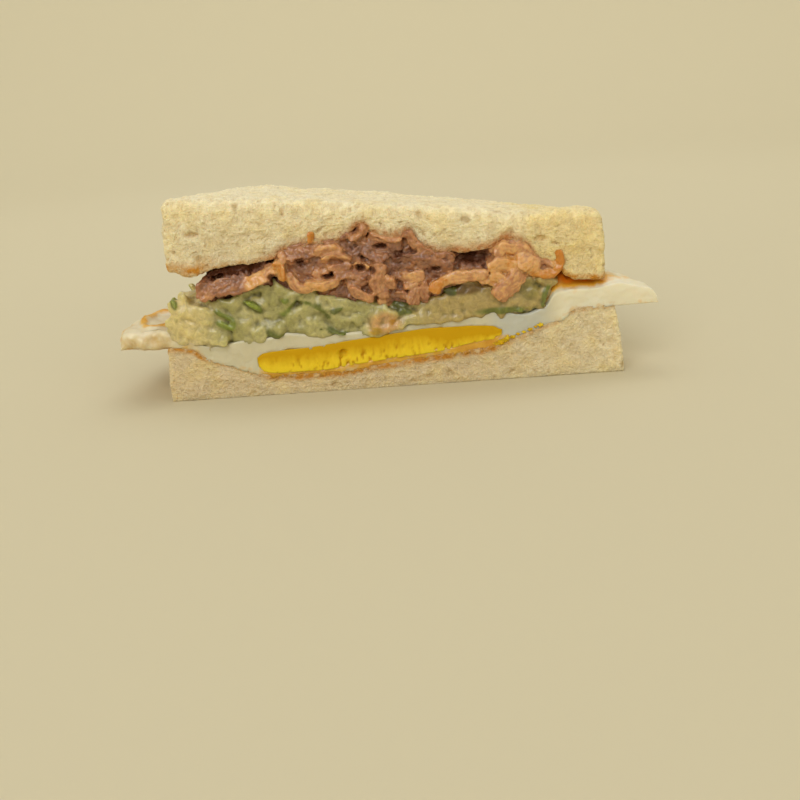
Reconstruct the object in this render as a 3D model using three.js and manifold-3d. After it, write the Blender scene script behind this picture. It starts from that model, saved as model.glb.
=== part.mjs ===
// One half of a beef and egg toast sandwich, cut straight across and lying on its lower slice.
// Millimetres, +Z up. X runs along the knife cut, Y from the cut to the back edge, and the origin
// is the middle of the flat underside. From the bottom: crustless toast, a fried egg whose yolk is
// cut open, shredded cucumber salad, thin slices of beef, crustless toast.

import * as THREE from 'three';
import { mergeVertices } from 'three/addons/utils/BufferGeometryUtils.js';
import Module from 'manifold-3d';

const wasm = await Module();
wasm.setup();

// Driving dimensions of the bread
const HALF_DEPTH = 50;
const CUT_Y = -HALF_DEPTH / 2;
const BACK_Y = HALF_DEPTH / 2;
const LOWER_WIDTH = 103.8;
const UPPER_WIDTH = 95.5;
const LOWER_SHIFT = 0.3;
const UPPER_SHIFT = -0.1;
const END_LEAN = 0.8; // how far each end leans in from foot to top
const CORNER_PULL = 1.2; // how far the back corners are drawn in
const CORNER_POWER = 6; // the higher, the closer the pull keeps to the corner
const EDGE_RADIUS = 1.6;

// Driving dimensions of the egg: the white is round about a point on the cut, the yolk beside it
const WHITE_CENTRE_X = -1;
const WHITE_BACK_THICKNESS = 3.2;
const WHITE_RIM = 1.4;
const WHITE_RUFFLE = 0.7; // how far the ruffles of its rim stand out
const RUFFLES = 17; // their number on a full turn
const WHITE_DROOP = 2.5; // how far it sinks behind the bread, over the length that follows
const DROOP_LENGTH = 8;
const RIPPLE = 0.35; // height of the ripple on top, from two crossed waves
const RIPPLE_WAVES = [[0.55, 0.3], [-0.12, 0.45]]; // radians per mm of X and of Y
const BREAD_MARGIN = 1; // how far inside the bread's border the white starts to rest on it
const YOLK_CENTRE_X = -3;
const YOLK_RADIUS = 28;
const YOLK_SIDE_ROOM = 1.3; // room at the yolk's side, in clearances

// Driving dimensions of the fillings. A jitter is the whole width of a random shift, in mm or degrees.
const SALAD_LEFT = -49.5;
const SALAD_RIGHT = 36;
const SALAD_BACK = 21;
const SALAD_BACK_THICKNESS = 5;
const STRIP_WIDTH = 3;
const STRIP_SIDES = 5;
const STRIP_SPACING = 3.9;
const STRIP_LENGTH = 6.5;
const STRIP_JITTER = { x: 1.4, z: 0.8, skew: 0.4, turn: 20 };
const LOOSE_JITTER = { x: 1.6, backTurn: 70, endTurn: 60 };
const LOOSE_HEIGHTS = [0.35, 0.85];
const BEEF_LEFT = -40;
const BEEF_RIGHT = 35;
const BEEF_BACK = 19.5;
const BEEF_SLICE = 3;
const BEEF_SPACING = 8;
const BEEF_MARGIN = 1.4; // how far loose slices keep inside the heap
const BEEF_JITTER = { y: 2, turn: 30 };
const BEEF_HEIGHTS = [0.25, 0.75];
const BEEF_STAND_OUT = 0.6; // mm for each step of a slice's value out
const FOLDS = 3;
const FOLDED_DEPTH = 8;
const LEAST_FOLD = 0.6;
const FILLING_RECESS = 1.6; // how far the heaps stand back from the knife cut

// The heaps: how their cores lie within them, how their corners round off, and how pieces taper
const CORE_INSET = 1; // how far a core's ends lie within its heap
const CORE_BACK_INSET = 1.5;
const CORE_EDGE_RADIUS = 3;
const CORE_DROP = 2; // how far the beef's core stays under the upper slice
const LEAST_CORE = 1; // its least thickness
const HEAP_NARROWING = 0.22; // share of its length that a heap loses at its back edge
const HEAP_ROUNDING = 0.12; // share of its depth that it loses at its ends
const HEAP_BACK_BOW = 5; // how far loose pieces at its back corners come forward
const FRONT_SHRINK = 0.1; // how much smaller a piece is at its front end
const SLICE_END = 0.55; // thickness of a slice at its ends, as a share of its middle
const SLICE_STEPS = 4;

const CLEARANCE = 0.3; // gap between neighbouring pieces
const BURIED = 2.5; // how far a block reaches into what is then cut from it
const BELOW_WHITE = 10; // depth under the white that the salad is kept clear of too
const CORE_GAP = 0.5; // how far the salad's core lies inside its heap, above and below
const LUMP_FADE = 12; // depth over which the lumps of a height line at the cut level out
const LUMP_REACH = 8; // half the length over which they are levelled

// Height lines read along X: at the cut, where every layer shows, and at the back edge
const LOWER_TOP_AT_CUT = [
  [-62, 13.3], [-51, 12.8], [-46, 12.2], [-43, 10], [-36, 7.4], [-29, 4.9], [-20, 4.2], [-12, 4.2],
  [0, 6], [10, 6.8], [20, 7.6], [27, 9], [33, 11.5], [38, 13.2], [42, 15.4], [60, 16],
];
const LOWER_TOP_AT_BACK = [[-60, 12.6], [-50, 12.5], [-25, 10.5], [0, 10], [25, 10.5], [50, 13], [60, 13.2]];
const EGG_TOP_AT_CUT = [
  [-63, 16.2], [-60, 17], [-54, 16.9], [-46, 15], [-41, 12.6], [-36, 13], [-26, 14.1], [-14, 14.3],
  [-8, 13.4], [0, 13.9], [9, 15], [25, 16], [31, 15], [35, 16.3], [37.5, 19.5], [45, 20], [52, 20.4],
  [58, 19.3], [60, 17.4],
];
const YOLK_TOP_AT_CUT = [[-31, 8.6], [-28, 10.5], [-19, 10.9], [-12, 11.6], [0, 12.7], [9, 13.4], [18, 13.3],
  [23, 12.9], [25, 12]];
const YOLK_UNDER_AT_CUT = [[-31, 7.4], [-28, 6.1], [-17, 5.6], [-9, 6.6], [0, 7.2], [11, 8.1], [18, 9.5],
  [23, 10], [25, 10.8]];
const SALAD_TOP_AT_CUT = [
  [-50, 23.6], [-46.5, 24.3], [-41, 22.6], [-33, 24.3], [-26, 26.6], [-19, 23.3], [-11, 23.6], [-8, 21.3],
  [5, 19.2], [9, 20.7], [19, 22.9], [22, 21.2], [32, 23.4], [36, 22.9],
];
const UPPER_UNDER_AT_CUT = [
  [-48, 30.3], [-43.5, 29.1], [-38, 30.5], [-25, 31.6], [-22, 33.4], [-10, 34.6], [-4.5, 37.6], [-2, 35.4],
  [3.5, 34.3], [5.4, 35.4], [8, 32], [12, 30.2], [23, 30.5], [26, 32.4], [29, 31.6], [31, 30.3], [34, 27],
  [38, 25.7], [40, 23.2], [42, 22.5], [48, 22.2],
];
const UPPER_UNDER_AT_BACK = [[-48, 28], [-20, 27.2], [0, 25.6], [20, 23.4], [48, 20.8]];
const UPPER_TOP_AT_CUT = [[-47, 45.4], [-28, 44.4], [-6.7, 42], [15, 39.5], [38, 37], [48, 36.9]];
const UPPER_TOP_AT_BACK = [
  [-47, 42.4], [-38, 43], [-20, 41.5], [0, 38.8], [20, 35.7], [36, 33.1], [48, 31.5],
];

// How far the white reaches from its centre, by the angle in degrees from +X
const WHITE_REACH = [[0, 61], [9, 57], [25, 53.5], [60, 56], [90, 58], [120, 60], [150, 65.5], [164, 63.5],
  [172, 63], [180, 61]];

// Slices of beef that show at the cut: the route of each across X and Z, its thickness, and how
// far its end stands out from the filling behind it
const BEEF_AT_CUT = [
  { route: [[-42, 25], [-38, 25.4], [-33, 26.8], [-28, 28.4]], thick: 4, out: 1.2 },
  { route: [[-38.5, 28.3], [-32, 28.8], [-25, 30.6]], thick: 1.8, out: -0.6 },
  { route: [[-26, 29.8], [-23.4, 30.3], [-23.4, 26.2]], thick: 2.8, out: 1.8 },
  { route: [[-22.3, 30.4], [-20.6, 32.8], [-15.6, 32.6]], thick: 3.4, out: 0.6 },
  { route: [[-16.6, 30], [-13.8, 32.4], [-10.4, 32], [-8.4, 29.4]], thick: 4.2, out: 1 },
  { route: [[-21.2, 27.8], [-20, 25], [-15, 24.4], [-10.2, 26.2]], thick: 3.4, out: 1.6 },
  { route: [[-18.6, 28.8], [-14.6, 27.8], [-9, 27.8]], thick: 2.6, out: 0.4 },
  { route: [[-7.4, 33.6], [-4.6, 36.4], [-2.4, 33.8]], thick: 2.6, out: 0.4 },
  { route: [[-6.6, 32.6], [-2, 31.6], [2.4, 32.6], [4.8, 31]], thick: 2.8, out: 0.2 },
  { route: [[3.8, 33.8], [6, 34], [7, 31.2], [13, 29.4]], thick: 2.6, out: 0.8 },
  { route: [[0.6, 29], [6, 28.4], [14.5, 26.8]], thick: 3.4, out: 0.8 },
  { route: [[2.6, 26.8], [8, 26.6], [13.4, 25]], thick: 2.2, out: 0 },
  { route: [[-8, 30.4], [-7.4, 27.2], [-5, 25.6], [-3, 26.8]], thick: 2.6, out: 0.4 },
  { route: [[-8.8, 24.8], [-6, 23.2], [-2.8, 21.6]], thick: 3, out: 1.2 },
  { route: [[-2, 28.4], [-1.2, 25], [0, 21.8]], thick: 4, out: 1.8 },
  { route: [[3.6, 26], [5, 23.2], [5.8, 20.2]], thick: 3.4, out: 1 },
  { route: [[7, 25.4], [8.4, 22.8], [8.6, 20.8]], thick: 3, out: 1.2 },
  { route: [[10.4, 21.8], [11.4, 23.4], [16, 24.4], [20.6, 24], [23.2, 22.8]], thick: 3, out: 1.8 },
  { route: [[23.8, 28.6], [26.4, 30.4], [29.4, 29.6], [31.8, 27.6]], thick: 4, out: 1.4 },
  { route: [[22.4, 25.6], [25.6, 26.4], [26.2, 23.8], [24.8, 21.6]], thick: 4.4, out: 1.8 },
  { route: [[27.6, 25.6], [30.4, 25.4], [33.2, 26]], thick: 3.6, out: 1 },
  { route: [[32, 24.8], [35.2, 24], [37.8, 24.8], [38.2, 27.8]], thick: 2.2, out: 0.8 },
  { route: [[15.4, 29], [19, 27.8], [23, 28.6]], thick: 2.8, out: -0.8 },
  { route: [[15.6, 26.2], [19.4, 26.4], [22.6, 27.2]], thick: 2.4, out: -0.4 },
];
const BEEF_SEED = 7;
const SALAD_SEED = 21;

// A repeatable source of numbers between 0 and 1
function numbers(seed) {
  let state = seed;
  return () => {
    state = (state * 1664525 + 1013904223) % 4294967296;
    return state / 4294967296;
  };
}

// A number near zero, at most half the spread to either side
function jitter(random, spread) {
  return (random() - 0.5) * spread;
}

// A number between two limits
function between(random, [low, high]) {
  return low + (high - low) * random();
}

// A smooth line through [x, z] stations that never overshoots them
function line(stations) {
  const last = stations.length - 1;
  const slope = (i) => (stations[i + 1][1] - stations[i][1]) / (stations[i + 1][0] - stations[i][0]);
  const tangents = stations.map((station, i) => {
    if (i === 0 || i === last || slope(i - 1) * slope(i) <= 0) return 0;
    return (2 * slope(i - 1) * slope(i)) / (slope(i - 1) + slope(i));
  });
  return (x) => {
    const at = THREE.MathUtils.clamp(x, stations[0][0], stations[last][0]);
    let i = 0;
    while (i < last - 1 && at > stations[i + 1][0]) i++;
    const span = stations[i + 1][0] - stations[i][0];
    const t = (at - stations[i][0]) / span;
    const rise = t * t * (3 - 2 * t);
    const bend = span * t * (1 - t) * ((1 - t) * tangents[i] - t * tangents[i + 1]);
    return stations[i][1] + (stations[i + 1][1] - stations[i][1]) * rise + bend;
  };
}

// A surface from the line at the cut to the line at the back; lumps of the cut soon level out
function layer(cutLine, backLine) {
  const samples = [-1, -0.5, 0, 0.5, 1];
  const levelled = (x) => samples.reduce((sum, s) => sum + cutLine(x + s * LUMP_REACH), 0) / samples.length;
  return (x, y) => {
    const lumps = 1 - THREE.MathUtils.smoothstep(y, CUT_Y, CUT_Y + LUMP_FADE);
    const back = THREE.MathUtils.smoothstep(y, CUT_Y, BACK_Y);
    const front = THREE.MathUtils.lerp(levelled(x), cutLine(x), lumps);
    return THREE.MathUtils.lerp(front, backLine(x), back);
  };
}

const lowerTop = layer(line(LOWER_TOP_AT_CUT), line(LOWER_TOP_AT_BACK));
const eggTop = layer(line(EGG_TOP_AT_CUT), (x) => line(LOWER_TOP_AT_BACK)(x) + WHITE_BACK_THICKNESS);
const saladTop = layer(line(SALAD_TOP_AT_CUT), (x) => (
  line(LOWER_TOP_AT_BACK)(x) + WHITE_BACK_THICKNESS + SALAD_BACK_THICKNESS
));
const upperUnder = layer(line(UPPER_UNDER_AT_CUT), line(UPPER_UNDER_AT_BACK));
const upperTop = layer(line(UPPER_TOP_AT_CUT), line(UPPER_TOP_AT_BACK));

// From three.js to an exact solid and back
function solid(geometry) {
  geometry.deleteAttribute('normal');
  geometry.deleteAttribute('uv');
  const merged = mergeVertices(geometry, 1e-4);
  const vertProperties = new Float32Array(merged.attributes.position.array);
  const triVerts = new Uint32Array(merged.index.array);
  return new wasm.Manifold(new wasm.Mesh({ numProp: 3, vertProperties, triVerts }));
}

function mesh(name, shape, material) {
  const { vertProperties, triVerts } = shape.getMesh();
  const geometry = new THREE.BufferGeometry();
  geometry.setAttribute('position', new THREE.BufferAttribute(vertProperties, 3));
  geometry.setIndex(new THREE.BufferAttribute(triVerts, 1));
  geometry.computeVertexNormals();
  const result = new THREE.Mesh(geometry, new THREE.MeshStandardMaterial(material));
  result.name = name;
  return result;
}

// Keeps the body itself and drops the crumbs that cutting leaves beside it
function largest(shape) {
  const bodies = shape.decompose();
  bodies.sort((a, b) => b.volume() - a.volume());
  return bodies[0];
}

// A block of cells bent to a plan, between a low and a high surface
function slab({ cells, plan, low, high }) {
  const geometry = new THREE.BoxGeometry(2, 2, 2, ...cells);
  const position = geometry.attributes.position;
  for (let i = 0; i < position.count; i++) {
    const height = (position.getZ(i) + 1) / 2;
    const [x, y, edge = 0] = plan(position.getX(i), position.getY(i), height);
    const z = THREE.MathUtils.lerp(low(x, y, edge), high(x, y, edge), height);
    position.setXYZ(i, x, y, z);
  }
  return solid(geometry);
}

// How far a rounded edge falls at a distance from the border
function fall(distance, radius) {
  const inside = THREE.MathUtils.clamp(radius - distance, 0, radius);
  return radius - Math.sqrt(radius * radius - inside * inside);
}

// Cells closer together near the border, where the edge is rounded
function towardsBorder(u) {
  return 0.5 * u + 0.5 * Math.sin((u * Math.PI) / 2);
}

// A slice of bread without its crust: straight cut face, softened ends, top edge and back corners
function slice({ width, shift, cells, low, high, roundUnder }) {
  const plan = (u, v, height) => {
    const lean = END_LEAN * (0.5 - height);
    const pull = CORNER_PULL * Math.max(v, 0) ** CORNER_POWER;
    const backPull = (CORNER_PULL / 2) * Math.max(v, 0);
    const across = towardsBorder(u);
    const x = shift + across * (width / 2 + lean - pull);
    const y = Math.min(towardsBorder(v), 1) * BACK_Y - backPull * across ** CORNER_POWER;
    const edge = Math.min((1 - Math.abs(across)) * (width / 2), (1 - towardsBorder(v)) * BACK_Y);
    return [x, y, edge];
  };
  return slab({
    cells,
    plan,
    low: (x, y, edge) => low(x, y) + (roundUnder ? fall(edge, EDGE_RADIUS) : 0),
    high: (x, y, edge) => high(x, y) - fall(edge, EDGE_RADIUS),
  });
}

// Half a disc about a point on the cut; the reach may change with the angle
function halfDisc(centreX, front, reach) {
  return (u, v) => {
    const depth = (v + 1) / 2;
    const across = u * Math.sqrt(1 - (depth * depth) / 2);
    const away = depth * Math.sqrt(1 - (u * u) / 2);
    const radius = reach(Math.atan2(away, across));
    const edge = 1 - Math.hypot(across, away);
    return [centreX + across * radius, front + away * radius, edge * radius];
  };
}

function bottomSlice() {
  return slice({
    width: LOWER_WIDTH, shift: LOWER_SHIFT, cells: [26, 10, 1],
    low: () => 0, high: lowerTop, roundUnder: false,
  });
}

function topSlice() {
  return slice({
    width: UPPER_WIDTH, shift: UPPER_SHIFT, cells: [26, 10, 1],
    low: upperUnder, high: upperTop, roundUnder: true,
  });
}

// The room that a solid takes from what lies on it or under it
function roomOf(shape, rise) {
  return shape.add(shape.translate([0, 0, rise]));
}

// The yolk: a pressed lens, thicker on the left, half of it left by the cut
function yolkLens(extra) {
  const topLine = line(YOLK_TOP_AT_CUT);
  const underLine = line(YOLK_UNDER_AT_CUT);
  const bedLine = line(LOWER_TOP_AT_CUT);
  const heightOf = (profile) => (x, y) => {
    const away = Math.hypot(x - YOLK_CENTRE_X, y - CUT_Y);
    const rightward = away > 0 ? ((x - YOLK_CENTRE_X) / away + 1) / 2 : 0.5;
    const reach = Math.min(away, YOLK_RADIUS);
    const above = (side) => profile(YOLK_CENTRE_X + side * reach) - bedLine(YOLK_CENTRE_X + side * reach);
    return lowerTop(x, y) + THREE.MathUtils.lerp(above(-1), above(1), rightward);
  };
  return slab({
    cells: [12, 5, 2],
    plan: halfDisc(YOLK_CENTRE_X, CUT_Y - extra, () => YOLK_RADIUS + extra * YOLK_SIDE_ROOM),
    low: (x, y) => heightOf(underLine)(x, y) - extra,
    high: (x, y) => heightOf(topLine)(x, y) + extra,
  });
}

// The white before it is cut: it runs out past both ends of the bread and past its back edge
function whiteBlock(under) {
  const reachLine = line(WHITE_REACH);
  const reach = (angle) => (
    reachLine(THREE.MathUtils.radToDeg(angle)) + WHITE_RUFFLE * Math.sin(angle) * Math.sin(angle * RUFFLES)
  );
  const droop = (y) => WHITE_DROOP * (Math.max(y - BACK_Y, 0) / DROOP_LENGTH) ** 2;
  const ripple = (x, y) => RIPPLE_WAVES.reduce((rise, [alongX, alongY]) => (
    rise * Math.sin(x * alongX + y * alongY)
  ), RIPPLE);
  return slab({
    cells: [34, 11, 1],
    plan: halfDisc(WHITE_CENTRE_X, CUT_Y, reach),
    low: (x, y) => lowerTop(x, y) + under(x, y) - droop(y),
    high: (x, y, edge) => eggTop(x, y) + ripple(x, y) - droop(y) - fall(edge, WHITE_RIM),
  });
}

function eggWhite(bread) {
  const onBread = (x, y) => (
    Math.abs(x - LOWER_SHIFT) < LOWER_WIDTH / 2 - BREAD_MARGIN && y < BACK_Y - BREAD_MARGIN
  );
  const block = whiteBlock((x, y) => (onBread(x, y) ? -BURIED : CLEARANCE));
  return largest(block.subtract(roomOf(bread, CLEARANCE)).subtract(yolkLens(CLEARANCE)));
}

// A bar of several sides along Y, its front end a little smaller than the rest
function bar({ outline, front, depth }) {
  const geometry = new THREE.ExtrudeGeometry(new THREE.Shape(outline), { depth, bevelEnabled: false });
  geometry.rotateX(Math.PI / 2);
  geometry.translate(0, front + depth, 0);
  geometry.computeBoundingBox();
  const centre = geometry.boundingBox.getCenter(new THREE.Vector3());
  const position = geometry.attributes.position;
  for (let i = 0; i < position.count; i++) {
    if (position.getY(i) < front + depth / 2) {
      position.setX(i, THREE.MathUtils.lerp(position.getX(i), centre.x, FRONT_SHRINK));
      position.setZ(i, THREE.MathUtils.lerp(position.getZ(i), centre.z, FRONT_SHRINK));
    }
  }
  return solid(geometry);
}

// The outline of a slice of meat seen end on: a smooth route with thickness, thinner at its ends
function sliceOutline(route, thick) {
  const curve = new THREE.CatmullRomCurve3(route.map(([x, z]) => new THREE.Vector3(x, z, 0)));
  const left = [];
  const right = [];
  for (let i = 0; i <= SLICE_STEPS; i++) {
    const t = i / SLICE_STEPS;
    const point = curve.getPointAt(t);
    const along = curve.getTangentAt(t);
    const half = (thick / 2) * THREE.MathUtils.lerp(SLICE_END, 1, Math.sin(Math.PI * t));
    left.push(new THREE.Vector2(point.x - along.y * half, point.y + along.x * half));
    right.unshift(new THREE.Vector2(point.x + along.y * half, point.y - along.x * half));
  }
  return [...left, ...right];
}

// The rounded plan of a heap: flat along the cut, round at the back corners
function heapPlan(left, right, back) {
  return (u, v) => {
    const depth = (v + 1) / 2;
    const inward = 1 - HEAP_NARROWING * depth ** 4;
    const x = (left + right) / 2 + (u * inward * (right - left)) / 2;
    const rounded = depth * (1 - HEAP_ROUNDING * u ** 4 * depth);
    const y = THREE.MathUtils.lerp(CUT_Y + FILLING_RECESS, back, rounded);
    const edge = Math.min((1 - Math.abs(u)) * (right - left) / 2, (1 - depth) * (back - CUT_Y));
    return [x, y, edge];
  };
}

// How far the back edge of a heap has come forward at a place between its ends
function backBow(x, left, right) {
  const across = (2 * x - left - right) / (right - left);
  return HEAP_BACK_BOW * across ** 4;
}

// The cucumber salad: a core with shreds fused on along the cut, the ends and the back
function cucumberSalad() {
  const random = numbers(SALAD_SEED);
  const parts = [slab({
    cells: [16, 5, 1],
    plan: heapPlan(SALAD_LEFT + CORE_INSET, SALAD_RIGHT - CORE_INSET, SALAD_BACK - CORE_BACK_INSET),
    low: (x, y) => eggTop(x, y) + CORE_GAP,
    high: (x, y, edge) => saladTop(x, y) - CORE_GAP - fall(edge, CORE_EDGE_RADIUS),
  })];
  const shred = (x, z, front, turn) => {
    const outline = [];
    for (let k = 0; k < STRIP_SIDES; k++) {
      const angle = (2 * Math.PI * (k + random() * STRIP_JITTER.skew)) / STRIP_SIDES;
      const half = (STRIP_WIDTH / 2) * between(random, [0.85, 1.2]);
      outline.push(new THREE.Vector2(half * Math.cos(angle), half * Math.sin(angle)));
    }
    const length = STRIP_LENGTH * between(random, [0.7, 1.2]);
    return bar({ outline, front: 0, depth: length })
      .rotate([0, 0, turn])
      .translate([x, front, z]);
  };
  for (let x = SALAD_LEFT + CORE_INSET; x < SALAD_RIGHT; x += STRIP_SPACING) {
    const bed = eggTop(x, CUT_Y) + STRIP_WIDTH / 2;
    const crown = saladTop(x, CUT_Y) - STRIP_WIDTH * 0.45;
    const rows = Math.max(1, Math.round((crown - bed) / STRIP_SPACING));
    for (let row = 0; row <= rows; row++) {
      const z = THREE.MathUtils.lerp(bed, crown, row / rows) + jitter(random, STRIP_JITTER.z);
      const front = CUT_Y + FILLING_RECESS * between(random, [-0.3, 0.7]);
      const across = x + jitter(random, STRIP_JITTER.x);
      parts.push(shred(across, z, front, jitter(random, STRIP_JITTER.turn)));
    }
  }
  for (let x = SALAD_LEFT + 9; x < SALAD_RIGHT - 6; x += STRIP_SPACING * 1.5) {
    const y = SALAD_BACK - CORE_BACK_INSET * between(random, [1, 2]) - backBow(x, SALAD_LEFT, SALAD_RIGHT);
    const z = THREE.MathUtils.lerp(eggTop(x, y), saladTop(x, y), between(random, LOOSE_HEIGHTS));
    parts.push(shred(x, z, y, 180 + jitter(random, LOOSE_JITTER.backTurn)));
  }
  for (let y = CUT_Y + 6; y < SALAD_BACK - 8; y += STRIP_SPACING * 1.5) {
    for (const [x, turn] of [[SALAD_LEFT + 1.2, -90], [SALAD_RIGHT - 1.2, 90]]) {
      const z = THREE.MathUtils.lerp(eggTop(x, y), saladTop(x, y), between(random, LOOSE_HEIGHTS));
      const across = x + jitter(random, LOOSE_JITTER.x);
      parts.push(shred(across, z, y, turn + jitter(random, LOOSE_JITTER.endTurn)));
    }
  }
  const heap = wasm.Manifold.union(parts);
  const whiteAndBelow = whiteBlock(() => -BELOW_WHITE);
  return largest(heap.subtract(whiteAndBelow.translate([0, 0, CLEARANCE])));
}

// The beef: a core with thin slices fused on, folded every way, right up to the upper slice
function beef(salad, white, upper) {
  const random = numbers(BEEF_SEED);
  const parts = [slab({
    cells: [14, 5, 1],
    plan: heapPlan(BEEF_LEFT, BEEF_RIGHT, BEEF_BACK - CORE_BACK_INSET),
    low: (x, y) => saladTop(x, y),
    high: (x, y, edge) => {
      const rounded = upperUnder(x, y) - CORE_DROP - fall(edge, CORE_EDGE_RADIUS);
      return Math.max(rounded, saladTop(x, y) + LEAST_CORE);
    },
  })];
  for (const { route, thick, out } of BEEF_AT_CUT) {
    const depth = between(random, [7, 10]);
    const front = CUT_Y + BEEF_STAND_OUT * (1 - out);
    parts.push(bar({ outline: sliceOutline(route, thick), front, depth }));
  }
  const folded = (width, height) => {
    const route = [];
    for (let k = 0; k <= FOLDS; k++) {
      const upOrDown = (k % 2 ? 0.5 : -0.5) * height;
      route.push([(k / FOLDS - 0.5) * width, upOrDown * between(random, [0.5, 1.5])]);
    }
    const thick = BEEF_SLICE * between(random, [0.8, 1.3]);
    return bar({ outline: sliceOutline(route, thick), front: 0, depth: FOLDED_DEPTH });
  };
  const place = (x, y, turn, width) => {
    const under = saladTop(x, y) + BEEF_MARGIN;
    const over = upperUnder(x, y) - BEEF_MARGIN;
    const z = THREE.MathUtils.lerp(under, over, between(random, BEEF_HEIGHTS));
    const piece = folded(width, Math.max(over - under - BEEF_MARGIN, LEAST_FOLD));
    parts.push(piece.rotate([0, 0, turn + jitter(random, BEEF_JITTER.turn)]).translate([x, y, z]));
  };
  for (let x = BEEF_LEFT + 9; x < BEEF_RIGHT - 4; x += BEEF_SPACING) {
    const y = BEEF_BACK + jitter(random, BEEF_JITTER.y) - backBow(x, BEEF_LEFT, BEEF_RIGHT);
    place(x, y, 180, between(random, [10, 14]));
  }
  for (let y = CUT_Y + 8; y < BEEF_BACK - 6; y += BEEF_SPACING) {
    place(BEEF_LEFT + jitter(random, BEEF_JITTER.y), y, -90, between(random, [9, 12]));
    place(BEEF_RIGHT - jitter(random, BEEF_JITTER.y), y, 90, between(random, [9, 12]));
  }
  const heap = wasm.Manifold.union(parts);
  const clear = heap
    .subtract(roomOf(upper, -CLEARANCE))
    .subtract(roomOf(salad, CLEARANCE))
    .subtract(roomOf(white, CLEARANCE));
  return largest(clear);
}

const lowerBread = bottomSlice();
const upperBread = topSlice();
const white = eggWhite(lowerBread);
const salad = cucumberSalad();
const meat = beef(salad, white, upperBread);

const group = new THREE.Group();
group.add(
  mesh('bottom_slice', lowerBread, { color: '#cdb385', roughness: 0.9, metalness: 0 }),
  mesh('egg_white', white, { color: '#d6cba6', roughness: 0.4, metalness: 0 }),
  mesh('egg_yolk', yolkLens(0), { color: '#d0a21c', roughness: 0.5, metalness: 0 }),
  mesh('cucumber_salad', salad, { color: '#a39a5c', roughness: 0.4, metalness: 0 }),
  mesh('beef', meat, { color: '#8f5f3f', roughness: 0.5, metalness: 0 }),
  mesh('top_slice', upperBread, { color: '#dcc894', roughness: 0.9, metalness: 0 }),
);

export default group;
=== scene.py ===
import math

import bpy
import numpy as np
from mathutils import Matrix, Vector


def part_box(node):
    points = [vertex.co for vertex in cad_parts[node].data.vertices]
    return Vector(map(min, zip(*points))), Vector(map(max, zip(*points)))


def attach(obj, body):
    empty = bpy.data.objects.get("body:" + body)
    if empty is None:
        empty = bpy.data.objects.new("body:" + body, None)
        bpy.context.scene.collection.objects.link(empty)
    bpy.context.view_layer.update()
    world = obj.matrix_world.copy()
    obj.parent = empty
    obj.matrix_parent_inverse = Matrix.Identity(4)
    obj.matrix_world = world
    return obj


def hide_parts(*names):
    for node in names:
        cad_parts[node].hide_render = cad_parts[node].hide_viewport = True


bl_info = {
    "name": "Beef and egg toast sandwich",
    "version": (1, 0, 0),
    "blender": (4, 5, 0),
    "location": "3D View > Sidebar > Sandwich",
    "description": "Builds half of a beef and egg toast sandwich, layer by layer, with a plain studio",
    "category": "Add Mesh",
}

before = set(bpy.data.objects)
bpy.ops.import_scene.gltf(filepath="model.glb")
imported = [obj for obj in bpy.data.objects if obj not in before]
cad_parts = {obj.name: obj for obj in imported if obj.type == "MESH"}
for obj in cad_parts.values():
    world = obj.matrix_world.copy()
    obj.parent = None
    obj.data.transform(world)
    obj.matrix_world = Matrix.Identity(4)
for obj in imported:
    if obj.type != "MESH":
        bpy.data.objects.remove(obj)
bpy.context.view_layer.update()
BODY = "root"
MM = 0.001

# All lengths are in millimetres where no comment says otherwise: X along the knife cut, Y away
# from it, Z up. These boxes are read from the frame
LOWER_BOX = np.array(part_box("bottom_slice")) / MM
UPPER_BOX = np.array(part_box("top_slice")) / MM
YOLK_BOX = np.array(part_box("egg_yolk")) / MM
SALAD_BOX = np.array(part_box("cucumber_salad")) / MM
BEEF_BOX = np.array(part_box("beef")) / MM
CUT_Y = LOWER_BOX[0][1]
BACK_Y = LOWER_BOX[1][1]

# Cells of each mesh along X, Y and Z
LOWER_CELLS = (330, 90, 36)
UPPER_CELLS = (320, 96, 46)
WHITE_CELLS = (260, 90, 14)
YOLK_CELLS = (160, 60, 22)
SALAD_CORE_CELLS = (150, 60, 18)
BEEF_CORE_CELLS = (140, 70, 24)
SALAD_SEED = 11
BEEF_SEED = 7

# How the slices of bread are cut and pressed
END_LEAN = 0.8
CORNER_PULL = 1.2
EDGE_RADIUS = 1.6
INNER_EDGE_RADIUS = 0.7
CUT_EDGE_RADIUS = 2.2
LOWER_RIGHT_LEAN = 1.2
LUMP_REACH = 8
LUMP_FADE = 12

# Height lines of the layers read along X: at the cut, and at the back edge
LOWER_TOP_AT_CUT = [
    (-62, 13.3), (-51, 12.8), (-46, 12.2), (-43, 10), (-36, 7.4), (-29, 4.9), (-20, 4.5), (-12, 4.6),
    (0, 5.9), (10, 6.8), (20, 7.6), (27, 9), (33, 11.5), (38, 13.2), (42, 15.4), (60, 16),
]
LOWER_TOP_AT_BACK = [(-60, 12.6), (-50, 12.5), (-25, 10.5), (0, 10), (25, 10.5), (50, 13), (60, 13.2)]
EGG_TOP_AT_CUT = [
    (-63, 16.2), (-60, 17), (-54, 16.9), (-46, 15), (-41, 12.6), (-36, 13), (-26, 14.1), (-14, 14.3),
    (-8, 13.4), (0, 13.9), (9, 15), (25, 16), (31, 15), (35, 16.3), (37.5, 19.5), (45, 20), (52, 20.4),
    (58, 19.3), (60, 17.4),
]
YOLK_TOP_AT_CUT = [
    (-31, 9.3), (-29.6, 10.2), (-27, 10.5), (-19, 10.9), (-12, 11.6), (0, 12.7), (9, 13.4),
    (18, 13.3), (23, 12.9), (25, 12),
]
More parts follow.
